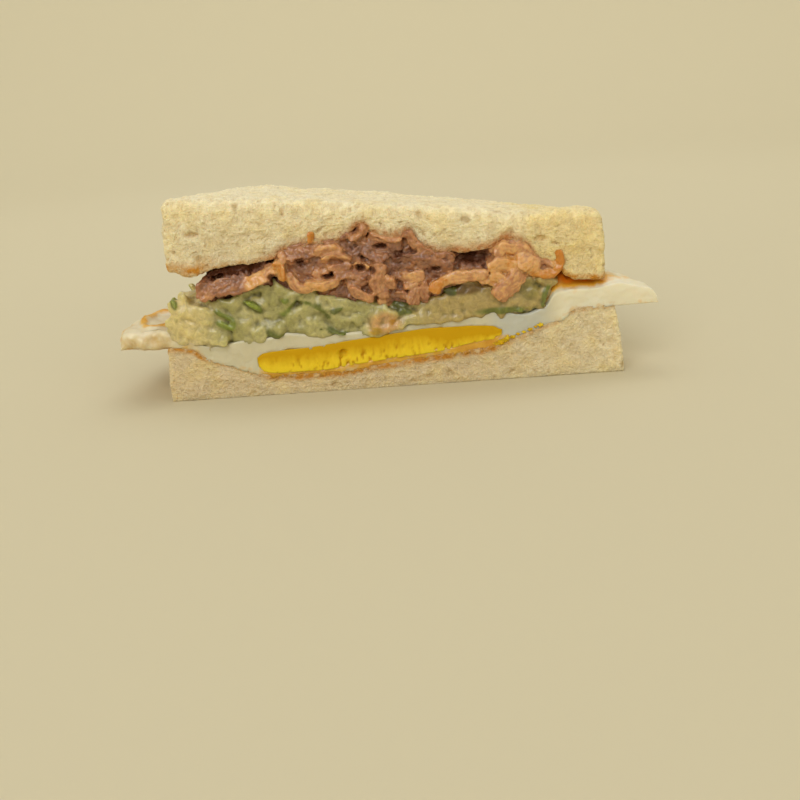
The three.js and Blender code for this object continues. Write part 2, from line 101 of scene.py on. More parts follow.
YOLK_UNDER_AT_CUT = [
    (-31, 6.6), (-29.6, 5.9), (-27, 5.3), (-17, 5.3), (-9, 6.1), (0, 6.9), (11, 7.9), (18, 9.3),
    (23, 9.9), (25, 10.8),
]
SALAD_TOP_AT_CUT = [
    (-50, 23.6), (-46.5, 24.3), (-41, 22.6), (-33, 24.3), (-26, 26.6), (-19, 23.3), (-11, 23.6),
    (-8, 21.3), (5, 19.2), (9, 20.7), (19, 22.9), (22, 21.2), (32, 23.4), (36, 22.9),
]
UPPER_UNDER_AT_CUT = [
    (-48, 30.3), (-43.5, 29.1), (-38, 30.5), (-25, 31.6), (-22, 33.4), (-10, 34.6), (-4.5, 37.6),
    (-2, 35.4), (3.5, 34.3), (5.4, 35.4), (8, 32), (12, 30.2), (23, 30.5), (26, 32.4), (29, 31.6),
    (31, 30.3), (34, 27), (38, 25.7), (40, 23.2), (42, 22.5), (48, 22.2),
]
UPPER_UNDER_AT_BACK = [(-48, 28), (-20, 27.2), (0, 25.6), (20, 23.4), (48, 20.8)]
UPPER_TOP_AT_CUT = [(-47, 45.4), (-28, 44.4), (-6.7, 42), (15, 39.5), (38, 37), (48, 36.9)]
UPPER_TOP_AT_BACK = [(-47, 42.4), (-38, 43), (-20, 41.5), (0, 38.8), (20, 35.7), (36, 33.1), (48, 31.5)]

# How far the white reaches from its centre on the cut, by the angle in degrees from +X
WHITE_REACH = [
    (0, 61), (9, 57), (25, 53.5), (60, 56), (90, 58), (120, 60), (150, 65.5), (164, 63.5),
    (172, 63), (180, 61),
]
WHITE_CENTRE_X = -1
WHITE_BACK_THICKNESS = 3.2
WHITE_DROOP = 2.5
WHITE_RIM = 1.4
YOLK_POCKET = 2.5
YOLK_POCKET_RIM = 0.6
YOLK_STANDS_OUT = 0.3
# A round hole that a bubble left in the cut yolk: X, Z, radius and depth
YOLK_BUBBLE = (-11.4, 8.8, 1.2, 1.5)
SALAD_BACK_THICKNESS = 5


def srgb(hex_colour):
    """A colour written as sRGB hex, as the linear values that Blender's nodes use."""
    values = [int(hex_colour[i:i + 2], 16) / 255 for i in (1, 3, 5)]
    return tuple(v / 12.92 if v <= 0.04045 else ((v + 0.055) / 1.055) ** 2.4 for v in values)


def colour(name, description, hex_colour):
    """A colour that the user may change."""
    return bpy.props.FloatVectorProperty(
        name=name, description=description, subtype="COLOR", size=3, min=0, max=1,
        default=srgb(hex_colour),
    )


def size(name, description, default):
    """A size that the user may change, written here in millimetres and kept in metres."""
    return bpy.props.FloatProperty(
        name=name, description=description, unit="LENGTH", min=0, precision=5, default=default * MM
    )


def in_mm(settings, *names):
    """Some of the sizes in millimetres, as exact as Blender keeps them, by their names in a tree."""
    sizes = {name.capitalize(): round(getattr(settings, name) / MM, 4) for name in names}
    return {label: float(np.float32(length)) for label, length in sizes.items()}


class ToastSettings(bpy.types.PropertyGroup):
    """Crustless white toast."""
    pore: size("Pore", "Width of a usual pore of the crumb", 1.1)
    pore_depth: size("Pore depth", "How deep a usual pore is", 0.3)
    hole: size("Hole", "Spacing of the few large holes", 6.5)
    crumb: colour("Crumb", "Fresh crumb at the middle of the slice", "#dbceac")
    # Painted shade: the crumb is darker inside its pores
    painted_pore_shade: colour("Crumb shade", "Inside of the pores", "#bfa87c")
    # Paler crumb near the outside; on the upper slice it lightens the top part, as painted light from
    # above
    outer_crumb: colour("Outer crumb", "Paler crumb near the outside", "#ebdfb9")
    yellow_crumb: colour("Yellow crumb", "Buttery patches of the crumb", "#e6cf8c")
    # Painted shade: darker crumb over the lower slice and low on the upper slice
    pressed_crumb: colour("Pressed crumb", "Damp crumb that was pressed under the filling", "#cebb98")
    toasted: colour("Toasted", "Golden face turned to the filling", "#b9802f")
    soaked: colour("Soaked", "Crumb that took up meat juice", "#b07646")


class EggSettings(bpy.types.PropertyGroup):
    """One egg, fried flat."""
    white: colour("White", "Set white at the rim", "#e2dbc0")
    # Painted shade: the white is greyer in its middle, under the bread
    damp: colour("Damp white", "Greyer white under the salad", "#ccc4a6")
    clear: colour("Clear white", "Half clear, greyer white at the right of the yolk", "#c0c0b2")
    buttery: colour("Buttery white", "Yellow mottling of the left rim", "#c8a966")
    browned: colour("Browned", "Fried golden skin of the white", "#dda73a")
    scorched: colour("Scorched", "Dark fried patches", "#c27f1c")
    # Browned skin, painted brighter as painted light where the upper slice shades it
    caramel_and_painted_light: colour("Caramel", "Orange-brown skin where the white meets the upper slice", "#dc7a14")
    # Painted shade: the dark line where the white touches the upper slice
    painted_contact_shade: colour("Burnt", "Dark line where the white touches the upper slice", "#7c3d10")
    yolk: colour("Yolk", "Firm yolk, upper part", "#c99c07")
    yolk_low: colour("Yolk foot", "Crumbly yolk, lower part", "#e8c82c")
    # Painted shade inside the pits and streaks of the yolk
    yolk_pit: colour("Yolk pits", "Inside of the pits and streaks of the yolk", "#b88408")


class SaladSettings(bpy.types.PropertyGroup):
    """Shredded cucumber in pale dressing."""
    width: size("Shred width", "Width of a shred of cucumber", 3.2)
    length: size("Shred length", "Length of a shred", 8)
    spacing: size("Shred spacing", "Least distance between shreds", 2.9)
    fusing: size("Fusing", "Finest gap that stays open between wet shreds", 0.43)
    relief: size("Relief", "Height of the swells on the flesh", 0.2)
    flesh: colour("Flesh", "Dressed cucumber flesh", "#b2ac74")
    flesh_green: colour("Green flesh", "Flesh next to the skin", "#86854c")
    skin: colour("Skin", "Fresh green skin", "#7f8c36")
    deep_skin: colour("Deep skin", "Darkest skin and shaded bits", "#3f4320")
    sauced: colour("Sauced flesh", "Flesh that took up meat juice, at the right", "#a88c54")
    # Painted shade in the creases between the shreds
    crease: colour("Crease", "Damp gaps between the shreds", "#5f5d28")
    dressing: colour("Dressing", "Pale dressing that fills the gaps", "#d1bf86")


class BeefSettings(bpy.types.PropertyGroup):
    """Thin slices of beef, cooked in sauce."""
    grain: size("Grain", "Width of the meat's fibres", 0.6)
    relief: size("Relief", "Height of the fibres", 0.1)
    lump: size("Lump", "Height of the swells of a slice", 0.15)
    crumple: size("Crumple", "Height of the small crumples of the meat", 0.26)
    skin: size("Skin", "Finest detail of the meat's surface", 0.24)
    # Painted shade: the darkest colour of the meat, for hollows and gaps in shade
    painted_hollow_shade: colour("Hollow", "Sauce in the hollows", "#4b2715")
    lean: colour("Lean", "Lean meat", "#865c46")
    seared: colour("Seared", "Red-brown seared meat", "#9f6b45")
    tender: colour("Tender", "Pinkish tan meat", "#bf8a5c")
    fat: colour("Fat", "Tan rendered fat", "#daa86a")
    glazed: colour("Glazed", "Fat glazed by the sauce", "#c4802a")


class StudioSettings(bpy.types.PropertyGroup):
    """Backdrop, lights and camera."""
    backdrop: colour("Backdrop", "Plain pale sweep", "#cfc6a8")
    lens: bpy.props.FloatProperty(
        name="Lens", description="Focal length for a sensor of 36 mm", unit="CAMERA", min=1,
        default=38.25,
    )


def smooth(t):
    """A soft step from 0 to 1."""
    t = np.clip(t, 0, 1)
    return t * t * (3 - 2 * t)


def stretch(x, start, rise, end, drop):
    """1 along a stretch and 0 outside it: it rises after the start and drops before the end."""
    return smooth((x - start) / rise) * smooth((end - x) / drop)


def profile(stations):
    """A smooth line through (x, z) stations that never overshoots them."""
    x, z = np.array(stations, float).T
    slope = np.diff(z) / np.diff(x)
    tangent = np.zeros(len(x))
    product = slope[:-1] * slope[1:]
    same_way = product > 0
    tangent[1:-1][same_way] = 2 * product[same_way] / (slope[:-1] + slope[1:])[same_way]

    def height(at):
        at = np.clip(at, x[0], x[-1])
        i = np.clip(np.searchsorted(x, at, side="right") - 1, 0, len(x) - 2)
        span = x[i + 1] - x[i]
        t = (at - x[i]) / span
        bend = span * t * (1 - t) * ((1 - t) * tangent[i] - t * tangent[i + 1])
        return z[i] + (z[i + 1] - z[i]) * t * t * (3 - 2 * t) + bend

    return height


def layer(at_cut, at_back, lift=0):
    """A surface from the line at the cut to the line at the back; lumps of the cut soon level out."""
    cut_line = profile(at_cut)
    back_line = profile(at_back)

    def height(x, y):
        level = sum(cut_line(x + s * LUMP_REACH) for s in (-1, -0.5, 0, 0.5, 1)) / 5
        lumps = 1 - smooth((y - CUT_Y) / LUMP_FADE)
        front = level + (cut_line(x) - level) * lumps
        return front + (back_line(x) + lift - front) * smooth((y - CUT_Y) / (BACK_Y - CUT_Y))

    return height


lower_top = layer(LOWER_TOP_AT_CUT, LOWER_TOP_AT_BACK)
egg_top = layer(EGG_TOP_AT_CUT, LOWER_TOP_AT_BACK, WHITE_BACK_THICKNESS)
salad_top = layer(SALAD_TOP_AT_CUT, LOWER_TOP_AT_BACK, WHITE_BACK_THICKNESS + SALAD_BACK_THICKNESS)
upper_under = layer(UPPER_UNDER_AT_CUT, UPPER_UNDER_AT_BACK)
upper_top = layer(UPPER_TOP_AT_CUT, UPPER_TOP_AT_BACK)


def fall(distance, radius):
    """How far a rounded edge falls at a distance from the border."""
    inside = np.clip(radius - distance, 0, radius)
    return radius - np.sqrt(radius * radius - inside * inside)


def lattice(nx, ny, nz):
    """The skin of a block of cells: where its points lie, each from -1 to 1, and its faces."""
    counts = np.array([nx, ny, nz])
    on_skin = np.zeros(counts + 1, bool)
    for axis in range(3):
        moved = np.moveaxis(on_skin, axis, 0)
        moved[0] = True
        moved[-1] = True
    where = np.argwhere(on_skin)
    number = np.full(counts + 1, -1)
    number[on_skin] = np.arange(len(where))
    faces = []
    for axis in range(3):
        for end in (0, -1):
            side = number.take(end, axis)
            corners = [side[:-1, :-1], side[1:, :-1], side[1:, 1:], side[:-1, 1:]]
            quads = np.stack(corners, -1).reshape(-1, 4)
            faces.append(quads[:, ::-1] if (end == 0) != (axis == 1) else quads)
    return where / counts * 2 - 1, np.concatenate(faces)


def mesh_object(name, points, faces, **attributes):
    """A mesh from points in millimetres, with a number stored at each point for each attribute."""
    mesh = bpy.data.meshes.new(name)
    mesh.from_pydata((np.asarray(points) * MM).tolist(), [], faces.tolist())
    for label, values in attributes.items():
        store = mesh.attributes.new(label, "FLOAT", "POINT")
        store.data.foreach_set("value", np.broadcast_to(values, len(points)).astype(np.float32))
    obj = bpy.data.objects.new(name, mesh)
    bpy.context.scene.collection.objects.link(obj)
    return obj


def fill(tree, socket, value):
    """Gives a socket a value, or a link from an output or from a node's first output in use."""
    if isinstance(value, bpy.types.Node):
        value = next(s for s in value.outputs if s.enabled)
    if isinstance(value, bpy.types.NodeSocket):
        tree.links.new(value, socket)
    elif socket.type == "RGBA":
        socket.default_value = (*value, 1) if len(value) == 3 else value
    else:
        socket.default_value = value


def add(tree, kind, inputs=(), **settings):
    """Adds a node, sets its properties and fills its inputs, given by name or in their order."""
    node = tree.nodes.new(kind)
    for label, value in settings.items():
        setattr(node, label, value)
    sockets = [s for s in node.inputs if s.enabled]
    if not isinstance(inputs, dict):
        for socket, value in zip(sockets, inputs):
            fill(tree, socket, value)
        return node
    for label, value in inputs.items():
        fill(tree, next(s for s in sockets if s.name == label), value)
    return node


def shape_tree(name, **values):
    """An empty geometry tree with a mesh going in and one named number for each size."""
    tree = bpy.data.node_groups.new(name, "GeometryNodeTree")
    tree.interface.new_socket("Mesh", in_out="INPUT", socket_type="NodeSocketGeometry")
    tree.interface.new_socket("Mesh", in_out="OUTPUT", socket_type="NodeSocketGeometry")
    for label, value in values.items():
        kinds = {None: "NodeSocketMaterial", bpy.types.Object: "NodeSocketObject"}
        kind = kinds.get(value, "NodeSocketFloat")
        socket = tree.interface.new_socket(label.replace("_", " "), in_out="INPUT", socket_type=kind)
        if value not in kinds:
            socket.default_value = value
    return tree, tree.nodes.new("NodeGroupInput")


def shaped(obj, tree, voxel=0, **values):
    """Runs a geometry tree on an object, on a closed skin of voxels where their size in mm is given."""
    if voxel:
        skin = obj.modifiers.new("Skin", "REMESH")
        skin.mode = "VOXEL"
        skin.voxel_size = voxel * MM
    modifier = obj.modifiers.new(tree.name, "NODES")
    modifier.node_group = tree
    for item in tree.interface.items_tree:
        label = item.name.replace(" ", "_")
        if item.in_out == "INPUT" and label in values:
            modifier[item.identifier] = values[label]
    depsgraph = bpy.context.evaluated_depsgraph_get()
    result = bpy.data.meshes.new_from_object(obj.evaluated_get(depsgraph), depsgraph=depsgraph)
    obj.modifiers.clear()
    obj.data = result
    return obj


def skinned(obj, tree, voxel, **values):
    """Gives an object one closed skin, with the object's own pieces under it for the tree to read."""
    loose = obj.copy()
    bpy.context.scene.collection.objects.link(loose)
    shaped(obj, tree, voxel, Pieces=loose, **values)
    bpy.data.objects.remove(loose)


def millimetres(tree):
    """Where each point lies, in millimetres."""
    here = add(tree, "GeometryNodeInputPosition")
    return add(tree, "ShaderNodeVectorMath", [here, 1 / MM], operation="SCALE")


def ripple(tree, space, scale, usual, rise=(0, 1), **noise):
    """A noise whose usual values, from the first to the second, are spread over a rise."""
    waves = add(tree, "ShaderNodeTexNoise", {"Vector": space, "Scale": scale, **noise})
    return add(tree, "ShaderNodeMapRange", [waves, *usual, *rise])


def swayed(tree, here, scale, detail, reach, space):
    """Shifts a space to and fro by a soft noise."""
    sway = add(tree, "ShaderNodeTexNoise", {"Vector": here, "Scale": scale, "Detail": detail})
    terms = [sway.outputs["Color"], (reach, reach, reach), space]
    return add(tree, "ShaderNodeVectorMath", terms, operation="MULTIPLY_ADD")


def carried(tree, given, blur, *names):
    """Stores on a skin the numbers of the nearest piece under it, some of them blurred a little."""
    geometry = given.outputs["Mesh"]
    pieces = add(tree, "GeometryNodeObjectInfo", {"Object": given.outputs["Pieces"]})
    for name in names:
        value = add(tree, "GeometryNodeInputNamedAttribute", {"Name": name}, data_type="FLOAT")
        source = {"Mesh": pieces.outputs["Geometry"], "Value": value}
        value = add(tree, "GeometryNodeSampleNearestSurface", source, data_type="FLOAT")
        if name in blur:
            value = add(tree, "GeometryNodeBlurAttribute", [value, blur[name]], data_type="FLOAT")
        stored = {"Geometry": geometry, "Name": name, "Value": value}
        geometry = add(tree, "GeometryNodeStoreNamedAttribute", stored, data_type="FLOAT", domain="POINT")
    return geometry


def moved_out(tree, geometry, distance, **stored):
    """Stores numbers at each point, then moves the points out along their normals, in metres."""
    for name, value in stored.items():
        geometry = add(tree, "GeometryNodeStoreNamedAttribute", {
            "Geometry": geometry, "Name": name, "Value": value}, data_type="FLOAT", domain="POINT")
    normal = add(tree, "GeometryNodeInputNormal")
    offset = add(tree, "ShaderNodeVectorMath", [normal, distance], operation="SCALE")
    return add(tree, "GeometryNodeSetPosition", {"Geometry": geometry, "Offset": offset})


def creased(tree, geometry, reach):
    """Stores how far each point lies below the smoothed surface, in mm, so that creases can be painted
    dark: painted shade.
    """
    here = add(tree, "GeometryNodeInputPosition")
    smoothed = add(tree, "GeometryNodeBlurAttribute", [here, reach], data_type="FLOAT_VECTOR")
    sunk = add(tree, "ShaderNodeVectorMath", [smoothed, here], operation="SUBTRACT")
    normal = add(tree, "GeometryNodeInputNormal")
    depth = add(tree, "ShaderNodeVectorMath", [sunk, normal], operation="DOT_PRODUCT")
    depth = add(tree, "ShaderNodeMath", [depth, 1 / MM], operation="MULTIPLY")
    return add(tree, "GeometryNodeStoreNamedAttribute", {
        "Geometry": geometry, "Name": "crease", "Value": depth}, data_type="FLOAT", domain="POINT")


def finished(tree, given, geometry):
    """Ends a geometry tree: shaded smooth, made real, and with its material."""
    soft = add(tree, "GeometryNodeSetShadeSmooth", {"Geometry": geometry})
    whole = add(tree, "GeometryNodeRealizeInstances", {"Geometry": soft})
    dressed = add(tree, "GeometryNodeSetMaterial", [whole, True, given.outputs["Material"]])
    add(tree, "NodeGroupOutput", {"Mesh": dressed})
    return tree


def joined(first, *others):
    """Makes one object of several."""
    with bpy.context.temp_override(active_object=first, selected_editable_objects=[first, *others]):
        bpy.ops.object.join()
    return first


def piece(obj, slot, *nodes):
    """Makes an object part of the sandwich, in place of the plain solids it stands for."""
    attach(obj, BODY)
    if nodes:
        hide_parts(*nodes)
    return obj


def material(name, **constants):
    """A material with a Principled shader, whose constants are set on its own sockets."""
    made = bpy.data.materials.new(name)
    made.use_nodes = True
    tree = made.node_tree
    shader = next(n for n in tree.nodes if n.type == "BSDF_PRINCIPLED")
    for label, value in constants.items():
        shader.inputs[label.replace("_", " ")].default_value = value
    return made, tree, shader


def food_material(name, stored, **constants):
    """A material that knows where each point lies and the numbers that the mesh stores there."""
    made, tree, shader = material(name, **constants)
    here = add(tree, "ShaderNodeTexCoord").outputs["Object"]
    found = [add(tree, "ShaderNodeAttribute", attribute_name=label).outputs["Fac"] for label in stored]
    return made, tree, shader, here, found


def surfaced(tree, shader, shade, height, strength, depth):
    """Gives a shader its colour, and a fine relief of a depth in metres."""
    bump = add(tree, "ShaderNodeBump", {"Height": height, "Strength": strength, "Distance": depth})
    fill(tree, shader.inputs["Base Color"], shade)
    fill(tree, shader.inputs["Normal"], bump)


def spot(tree, here, centre, reach):
    """1 at a place of the cut and 0 beyond its reach across and up, all in mm."""
    x, z = centre
    across, up = reach
    shares = (1 / (across * MM), 0, 1 / (up * MM))
    apart = add(tree, "ShaderNodeVectorMath", [here, (x * MM, 0, z * MM)], operation="SUBTRACT")
    scaled = add(tree, "ShaderNodeVectorMath", [apart, shares], operation="MULTIPLY")
    length = add(tree, "ShaderNodeVectorMath", [scaled], operation="LENGTH")
    return add(tree, "ShaderNodeMapRange", [length, 1, 0.4], interpolation_type="SMOOTHSTEP")


# Place of the crumb that took up butter, at the right of the upper slice: middle and reach in X and Z
BUTTERY_CRUMB = ((44, 33), (20, 19))


def toast_material(settings):
    """White bread, toasted on the faces: dry open crumb, dull, soft at the edges of the pores."""
    made, tree, shader, here, (pore, outer, golden, soak, pressed) = food_material(
        "White toast crumb", ("pore", "outer", "golden", "soak", "pressed"), Roughness=0.9,
        Specular_IOR_Level=0.2, Subsurface_Weight=0.4, Subsurface_Scale=0.003,
        Subsurface_Radius=(1.0, 0.8, 0.6),
    )
    # A noise scale of 200 gives patches of 5 mm, 620 clumps of 1.6 mm, 1900 fine grains of 0.5 mm
    patches, clumps, grains = [
        add(tree, "ShaderNodeTexNoise", {
            "Vector": here, "Scale": scale, "Detail": detail, "Roughness": rough})
        for scale, detail, rough in ((200, 3, 0.5), (620, 3, 0.6), (1900, 2, 0.5))]
    near_outside_and_top_light, yellow, deep, uneven = [
        add(tree, "ShaderNodeMapRange", limits) for limits in (
            [outer, 9, 0.5], [patches, 0.45, 0.72, 0, 0.5], [pore, 0.1, 1.5, 0, 0.8],
            [clumps, 0.35, 0.65, 0.35, 1.25])]
    at_right = add(tree, "ShaderNodeMath", [spot(tree, here, *BUTTERY_CRUMB), 0.55], operation="MULTIPLY")
    yellow = add(tree, "ShaderNodeMath", [yellow, at_right], operation="ADD", use_clamp=True)
    # Painted shade: the pressed number darkens the lower slice and the low part of the upper slice
    layers = [
        # The outer crumb paints light from above onto the top of the upper slice
        (near_outside_and_top_light, settings.outer_crumb), (pressed, settings.pressed_crumb),
        # The pore depth paints shade inside the pores
        (yellow, settings.yellow_crumb), (deep, settings.painted_pore_shade),
    ]
    for amount, shade in ((golden, settings.toasted), (soak, settings.soaked)):
        amount = add(tree, "ShaderNodeMath", [amount, uneven], operation="MULTIPLY", use_clamp=True)
        layers.append((amount, shade))
    crumb = settings.crumb
    for share, shade in layers:
        crumb = add(tree, "ShaderNodeMix", [share, crumb, shade], data_type="RGBA")
    # Thin walls between fine cells of 1 mm, swayed so that they look torn. The walls are painted lighter,
    # a painted highlight, among random specks
    torn = [clumps.outputs["Color"], (0.0012, 0.0012, 0.0012), here]
    torn = add(tree, "ShaderNodeVectorMath", torn, operation="MULTIPLY_ADD")
    cells = add(tree, "ShaderNodeTexVoronoi", {"Vector": torn, "Scale": 950}, feature="DISTANCE_TO_EDGE")
    walls = add(tree, "ShaderNodeMapRange", [cells, 0.22, 0.02])
    speckle_and_wall_highlight = add(tree, "ShaderNodeMath", [clumps, grains], operation="ADD")
    speckle_and_wall_highlight = add(tree, "ShaderNodeMath", [walls, 0.25, speckle_and_wall_highlight], operation="MULTIPLY_ADD")
    tint = add(tree, "ShaderNodeMapRange", [speckle_and_wall_highlight, 0.75, 1.4, 0.97, 1.15])
    crumb = add(tree, "ShaderNodeVectorMath", [crumb, tint], operation="SCALE")
    rough = add(tree, "ShaderNodeMath", [walls, 0.35, grains], operation="MULTIPLY_ADD")
    surfaced(tree, shader, crumb, rough, 0.7, 0.0006)
    return made


def crumb_tree():
    """Opens the surface of a slice into soft clumps of crumb, small pits and a few larger holes."""
    tree, given = shape_tree("Crumb", Pore=1.1, Pore_depth=0.3, Hole=6.5, Material=None)
    here = millimetres(tree)
    torn = swayed(tree, here, 0.3, 2, 4, here)
    density, sparse = [
        add(tree, "ShaderNodeMath", [1, given.outputs[label]], operation="DIVIDE")
        for label in ("Pore", "Hole")]
    # Wisps are drawn out along X, clumps are even
    drawn = add(tree, "ShaderNodeVectorMath", [torn, (0.45, 1, 1)], operation="MULTIPLY")
    wisps = ripple(tree, drawn, density, (0.6, 0.38), (0, 0.6), Detail=3, Roughness=0.6)
    clumps = ripple(tree, here, 0.45, (0.64, 0.36), (-0.15, 0.25), Detail=4, Roughness=0.65)
    # About one cell in five is a pit
    cells = add(tree, "ShaderNodeTexVoronoi", {"Vector": torn, "Scale": density, "Randomness": 1})
    own = add(tree, "ShaderNodeSeparateXYZ", [cells.outputs["Color"]])
    chosen = add(tree, "ShaderNodeMath", [own, 0.82], operation="GREATER_THAN")
    pit = add(tree, "ShaderNodeMapRange", [cells, 0.1, 0.5, 0.9, 0], interpolation_type="SMOOTHSTEP")
    pit = add(tree, "ShaderNodeMath", [pit, chosen], operation="MULTIPLY")
    flat = add(tree, "ShaderNodeVectorMath", [torn, (0.9, 1, 1.3)], operation="MULTIPLY")
    holes = add(tree, "ShaderNodeTexVoronoi", {"Vector": flat, "Scale": sparse, "Randomness": 1})
    hole = add(tree, "ShaderNodeMapRange", [holes, 0.05, 0.2, 1.5, 0], interpolation_type="SMOOTHSTEP")
    depth = wisps
    for more in (clumps, pit, hole):
        depth = add(tree, "ShaderNodeMath", [depth, more], operation="ADD")
    pressed = add(tree, "GeometryNodeInputNamedAttribute", {"Name": "pressed"}, data_type="FLOAT")
    open_by = add(tree, "ShaderNodeMapRange", [pressed, 0, 1, 1.15, 0.95])
    depth = add(tree, "ShaderNodeMath", [depth, open_by], operation="MULTIPLY")
    # Low waves of 6 mm and fuzz of 0.6 mm
    wave = ripple(tree, here, 0.16, (0.3, 0.7), (-1.1, 1.1), Detail=1)
    fuzz = add(tree, "ShaderNodeTexNoise", {"Vector": here, "Scale": 1.6, "Detail": 1})
    rise = add(tree, "ShaderNodeMath", [fuzz, 2, wave], operation="MULTIPLY_ADD")
    fallen = add(tree, "ShaderNodeMath", [depth, rise], operation="SUBTRACT")
    inwards = add(tree, "ShaderNodeMath", [given.outputs["Pore depth"], -MM], operation="MULTIPLY")
    move = add(tree, "ShaderNodeMath", [fallen, inwards], operation="MULTIPLY")
    # The underside of the lower slice stays flat, so that the sandwich rests on it
    height = add(tree, "ShaderNodeSeparateXYZ", [here]).outputs["Z"]
    off_ground = add(tree, "ShaderNodeMapRange", [height, 0.1, 1.2])
    move = add(tree, "ShaderNodeMath", [move, off_ground], operation="MULTIPLY")
    return finished(tree, given, moved_out(tree, given.outputs["Mesh"], move, pore=depth))


# Single holes in the cut crumb of the upper slice: X and Z of the middle, half width, half height
TOAST_HOLES = [
    (-41.6, 38.0, 1.7, 0.8), (-21.5, 41.3, 0.7, 1.0), (34.0, 31.8, 1.3, 0.7), (37.4, 30.5, 1.1, 0.5),
]
TOAST_HOLE_DEPTH = 0.9
# How much the points of a slice are drawn towards its borders, where the edges are rounded
DRAWN_ACROSS = 0.2
DRAWN_AWAY = 0.4
# The crumb pales near the outside, but less at the underside, which counts as this far inside.
# On the upper slice this paling lightens its top part: painted light from above.
UNDERSIDE_COUNTS_AS = 4


def slice_mesh(name, box, cells, low, high, round_under, browned, soak, pressed):
    """A slice of bread: straight cut face, softened ends, back corners and outer edges."""
    uvw, faces = lattice(*cells)
    u, v, w = uvw.T
    across = (1 - DRAWN_ACROSS) * u + DRAWN_ACROSS * np.sin(u * math.pi / 2)
    away = (1 - DRAWN_AWAY) * v + DRAWN_AWAY * np.sin(v * math.pi / 2)
    raised = (w + 1) / 2
    half = (box[1][0] - box[0][0]) / 2 - END_LEAN / 2
    middle = (box[1][0] + box[0][0]) / 2
    behind = np.maximum(v, 0)
    x = middle + across * (half + END_LEAN * (0.5 - raised) - CORNER_PULL * behind ** 6)
    if not round_under:
        x = x - LOWER_RIGHT_LEAN * raised * np.maximum(across, 0) ** 3
    y = away * BACK_Y - CORNER_PULL * 0.5 * behind * across ** 6
    from_end = (1 - np.abs(across)) * half
    edge = np.minimum(from_end, (1 - away) * BACK_Y)
    bottom = low(x, y) + (fall(edge, INNER_EDGE_RADIUS) if round_under else 0)
    top = high(x, y) - fall(edge, EDGE_RADIUS if round_under else INNER_EDGE_RADIUS)
    if round_under:
        top = top - fall(y - CUT_Y, CUT_EDGE_RADIUS)
    z = bottom + (top - bottom) * raised
    inner = z - bottom if round_under else top - z
    # Near the top of the upper slice this distance paints the crumb paler: painted light
    outside = np.minimum(from_end, top - z if round_under else z + UNDERSIDE_COUNTS_AS)
    golden = browned(x, inner)
    # Holes are sunk into the cut face, and tinted a little toward the toast colour inside as painted
    # shade
    for hole_x, hole_z, wide, tall in TOAST_HOLES if round_under else []:
        sunk = smooth(1.6 - 1.2 * np.hypot((x - hole_x) / wide, (z - hole_z) / tall)) * (v == -1)
        y = y + TOAST_HOLE_DEPTH * sunk
        golden = np.maximum(golden, 0.3 * sunk)
    # The pressed number also darkens the crumb as painted shade
    return mesh_object(
        name, np.stack([x, y, z], -1), faces, outer=outside, golden=golden, soak=soak(x, inner),
        pressed=pressed(x, z),
    )


def upper_browned(x, inner):
    """Toasting of the face over the filling: strong at the left corner, a dark line at the right one."""
    left = 0.95 * smooth((-34 - x) / 8) * smooth(1.15 - inner / 3.2)
    right = smooth((x - 34) / 4) * smooth(1.2 - inner / 1.1)
    return np.maximum(np.maximum(left, right), 0.55 * smooth(1.2 - inner))


def lower_browned(x, inner):
    """Toasting of the face under the egg: crumbly and golden under the yolk, a line elsewhere."""
    under_yolk = stretch(x, -34, 8, 28, 6) * smooth(1.25 - inner / 1.5)
    left = 0.9 * smooth((-38 - x) / 6) * smooth(1.2 - inner / 1.2)
    return np.maximum(np.maximum(under_yolk, left), 0.6 * smooth(1.2 - inner / 0.9))


def soaked_by_beef(x, inner):
    """Meat juice in the crumb, up to 3 mm from the beef."""
    return 0.8 * stretch(x, -30, 8, 38, 6) * smooth(1.1 - inner / 2.4)


def zero(x, other):
    """The height of the flat underside, and the meat juice in the lower slice."""
    return np.zeros_like(x)


def lower_pressed_and_shaded(x, z):
    """How pressed the lower slice is, and how much painted shade darkens it: less so at its right end."""
    return 0.9 - 0.6 * smooth((x - 10) / 30)


def upper_pressed_and_shaded(x, z):
    """How pressed the upper slice is, and how much painted shade darkens it: a little, where it hangs
    low.
    """
    return 0.25 * smooth((36 - z) / 10)


class SANDWICH_OT_bread(bpy.types.Operator):
    """Adds the two slices of crustless toast"""
    bl_idname = "sandwich.bread"
    bl_label = "Toast slices"

    def execute(self, context):
        settings = context.scene.sandwich_toast
        finish = toast_material(settings)
        tree = crumb_tree()
        lower = slice_mesh(
            "toast_lower", LOWER_BOX, LOWER_CELLS, zero, lower_top, False, lower_browned, zero,
            lower_pressed_and_shaded,
        )
        upper = slice_mesh(
            "toast_upper", UPPER_BOX, UPPER_CELLS, upper_under, upper_top, True, upper_browned,
            soaked_by_beef, upper_pressed_and_shaded,
        )
        sizes = in_mm(settings, "pore", "pore_depth", "hole")
        for obj, node in ((lower, "bottom_slice"), (upper, "top_slice")):
            piece(shaped(obj, tree, Material=finish, **sizes), "toast", node)
        return {"FINISHED"}


def half_disc(u, v, centre_x, reach):
    """Half a disc about a point on the cut, and how far each point is from its rim."""
    depth = (v + 1) / 2
    across = u * np.sqrt(1 - depth * depth / 2)
    away = depth * np.sqrt(1 - u * u / 2)
    radius = reach(np.degrees(np.arctan2(away, across)))
    inside = np.clip(1 - np.hypot(across, away), 0, 1)
    return centre_x + across * radius, CUT_Y + away * radius, inside * radius


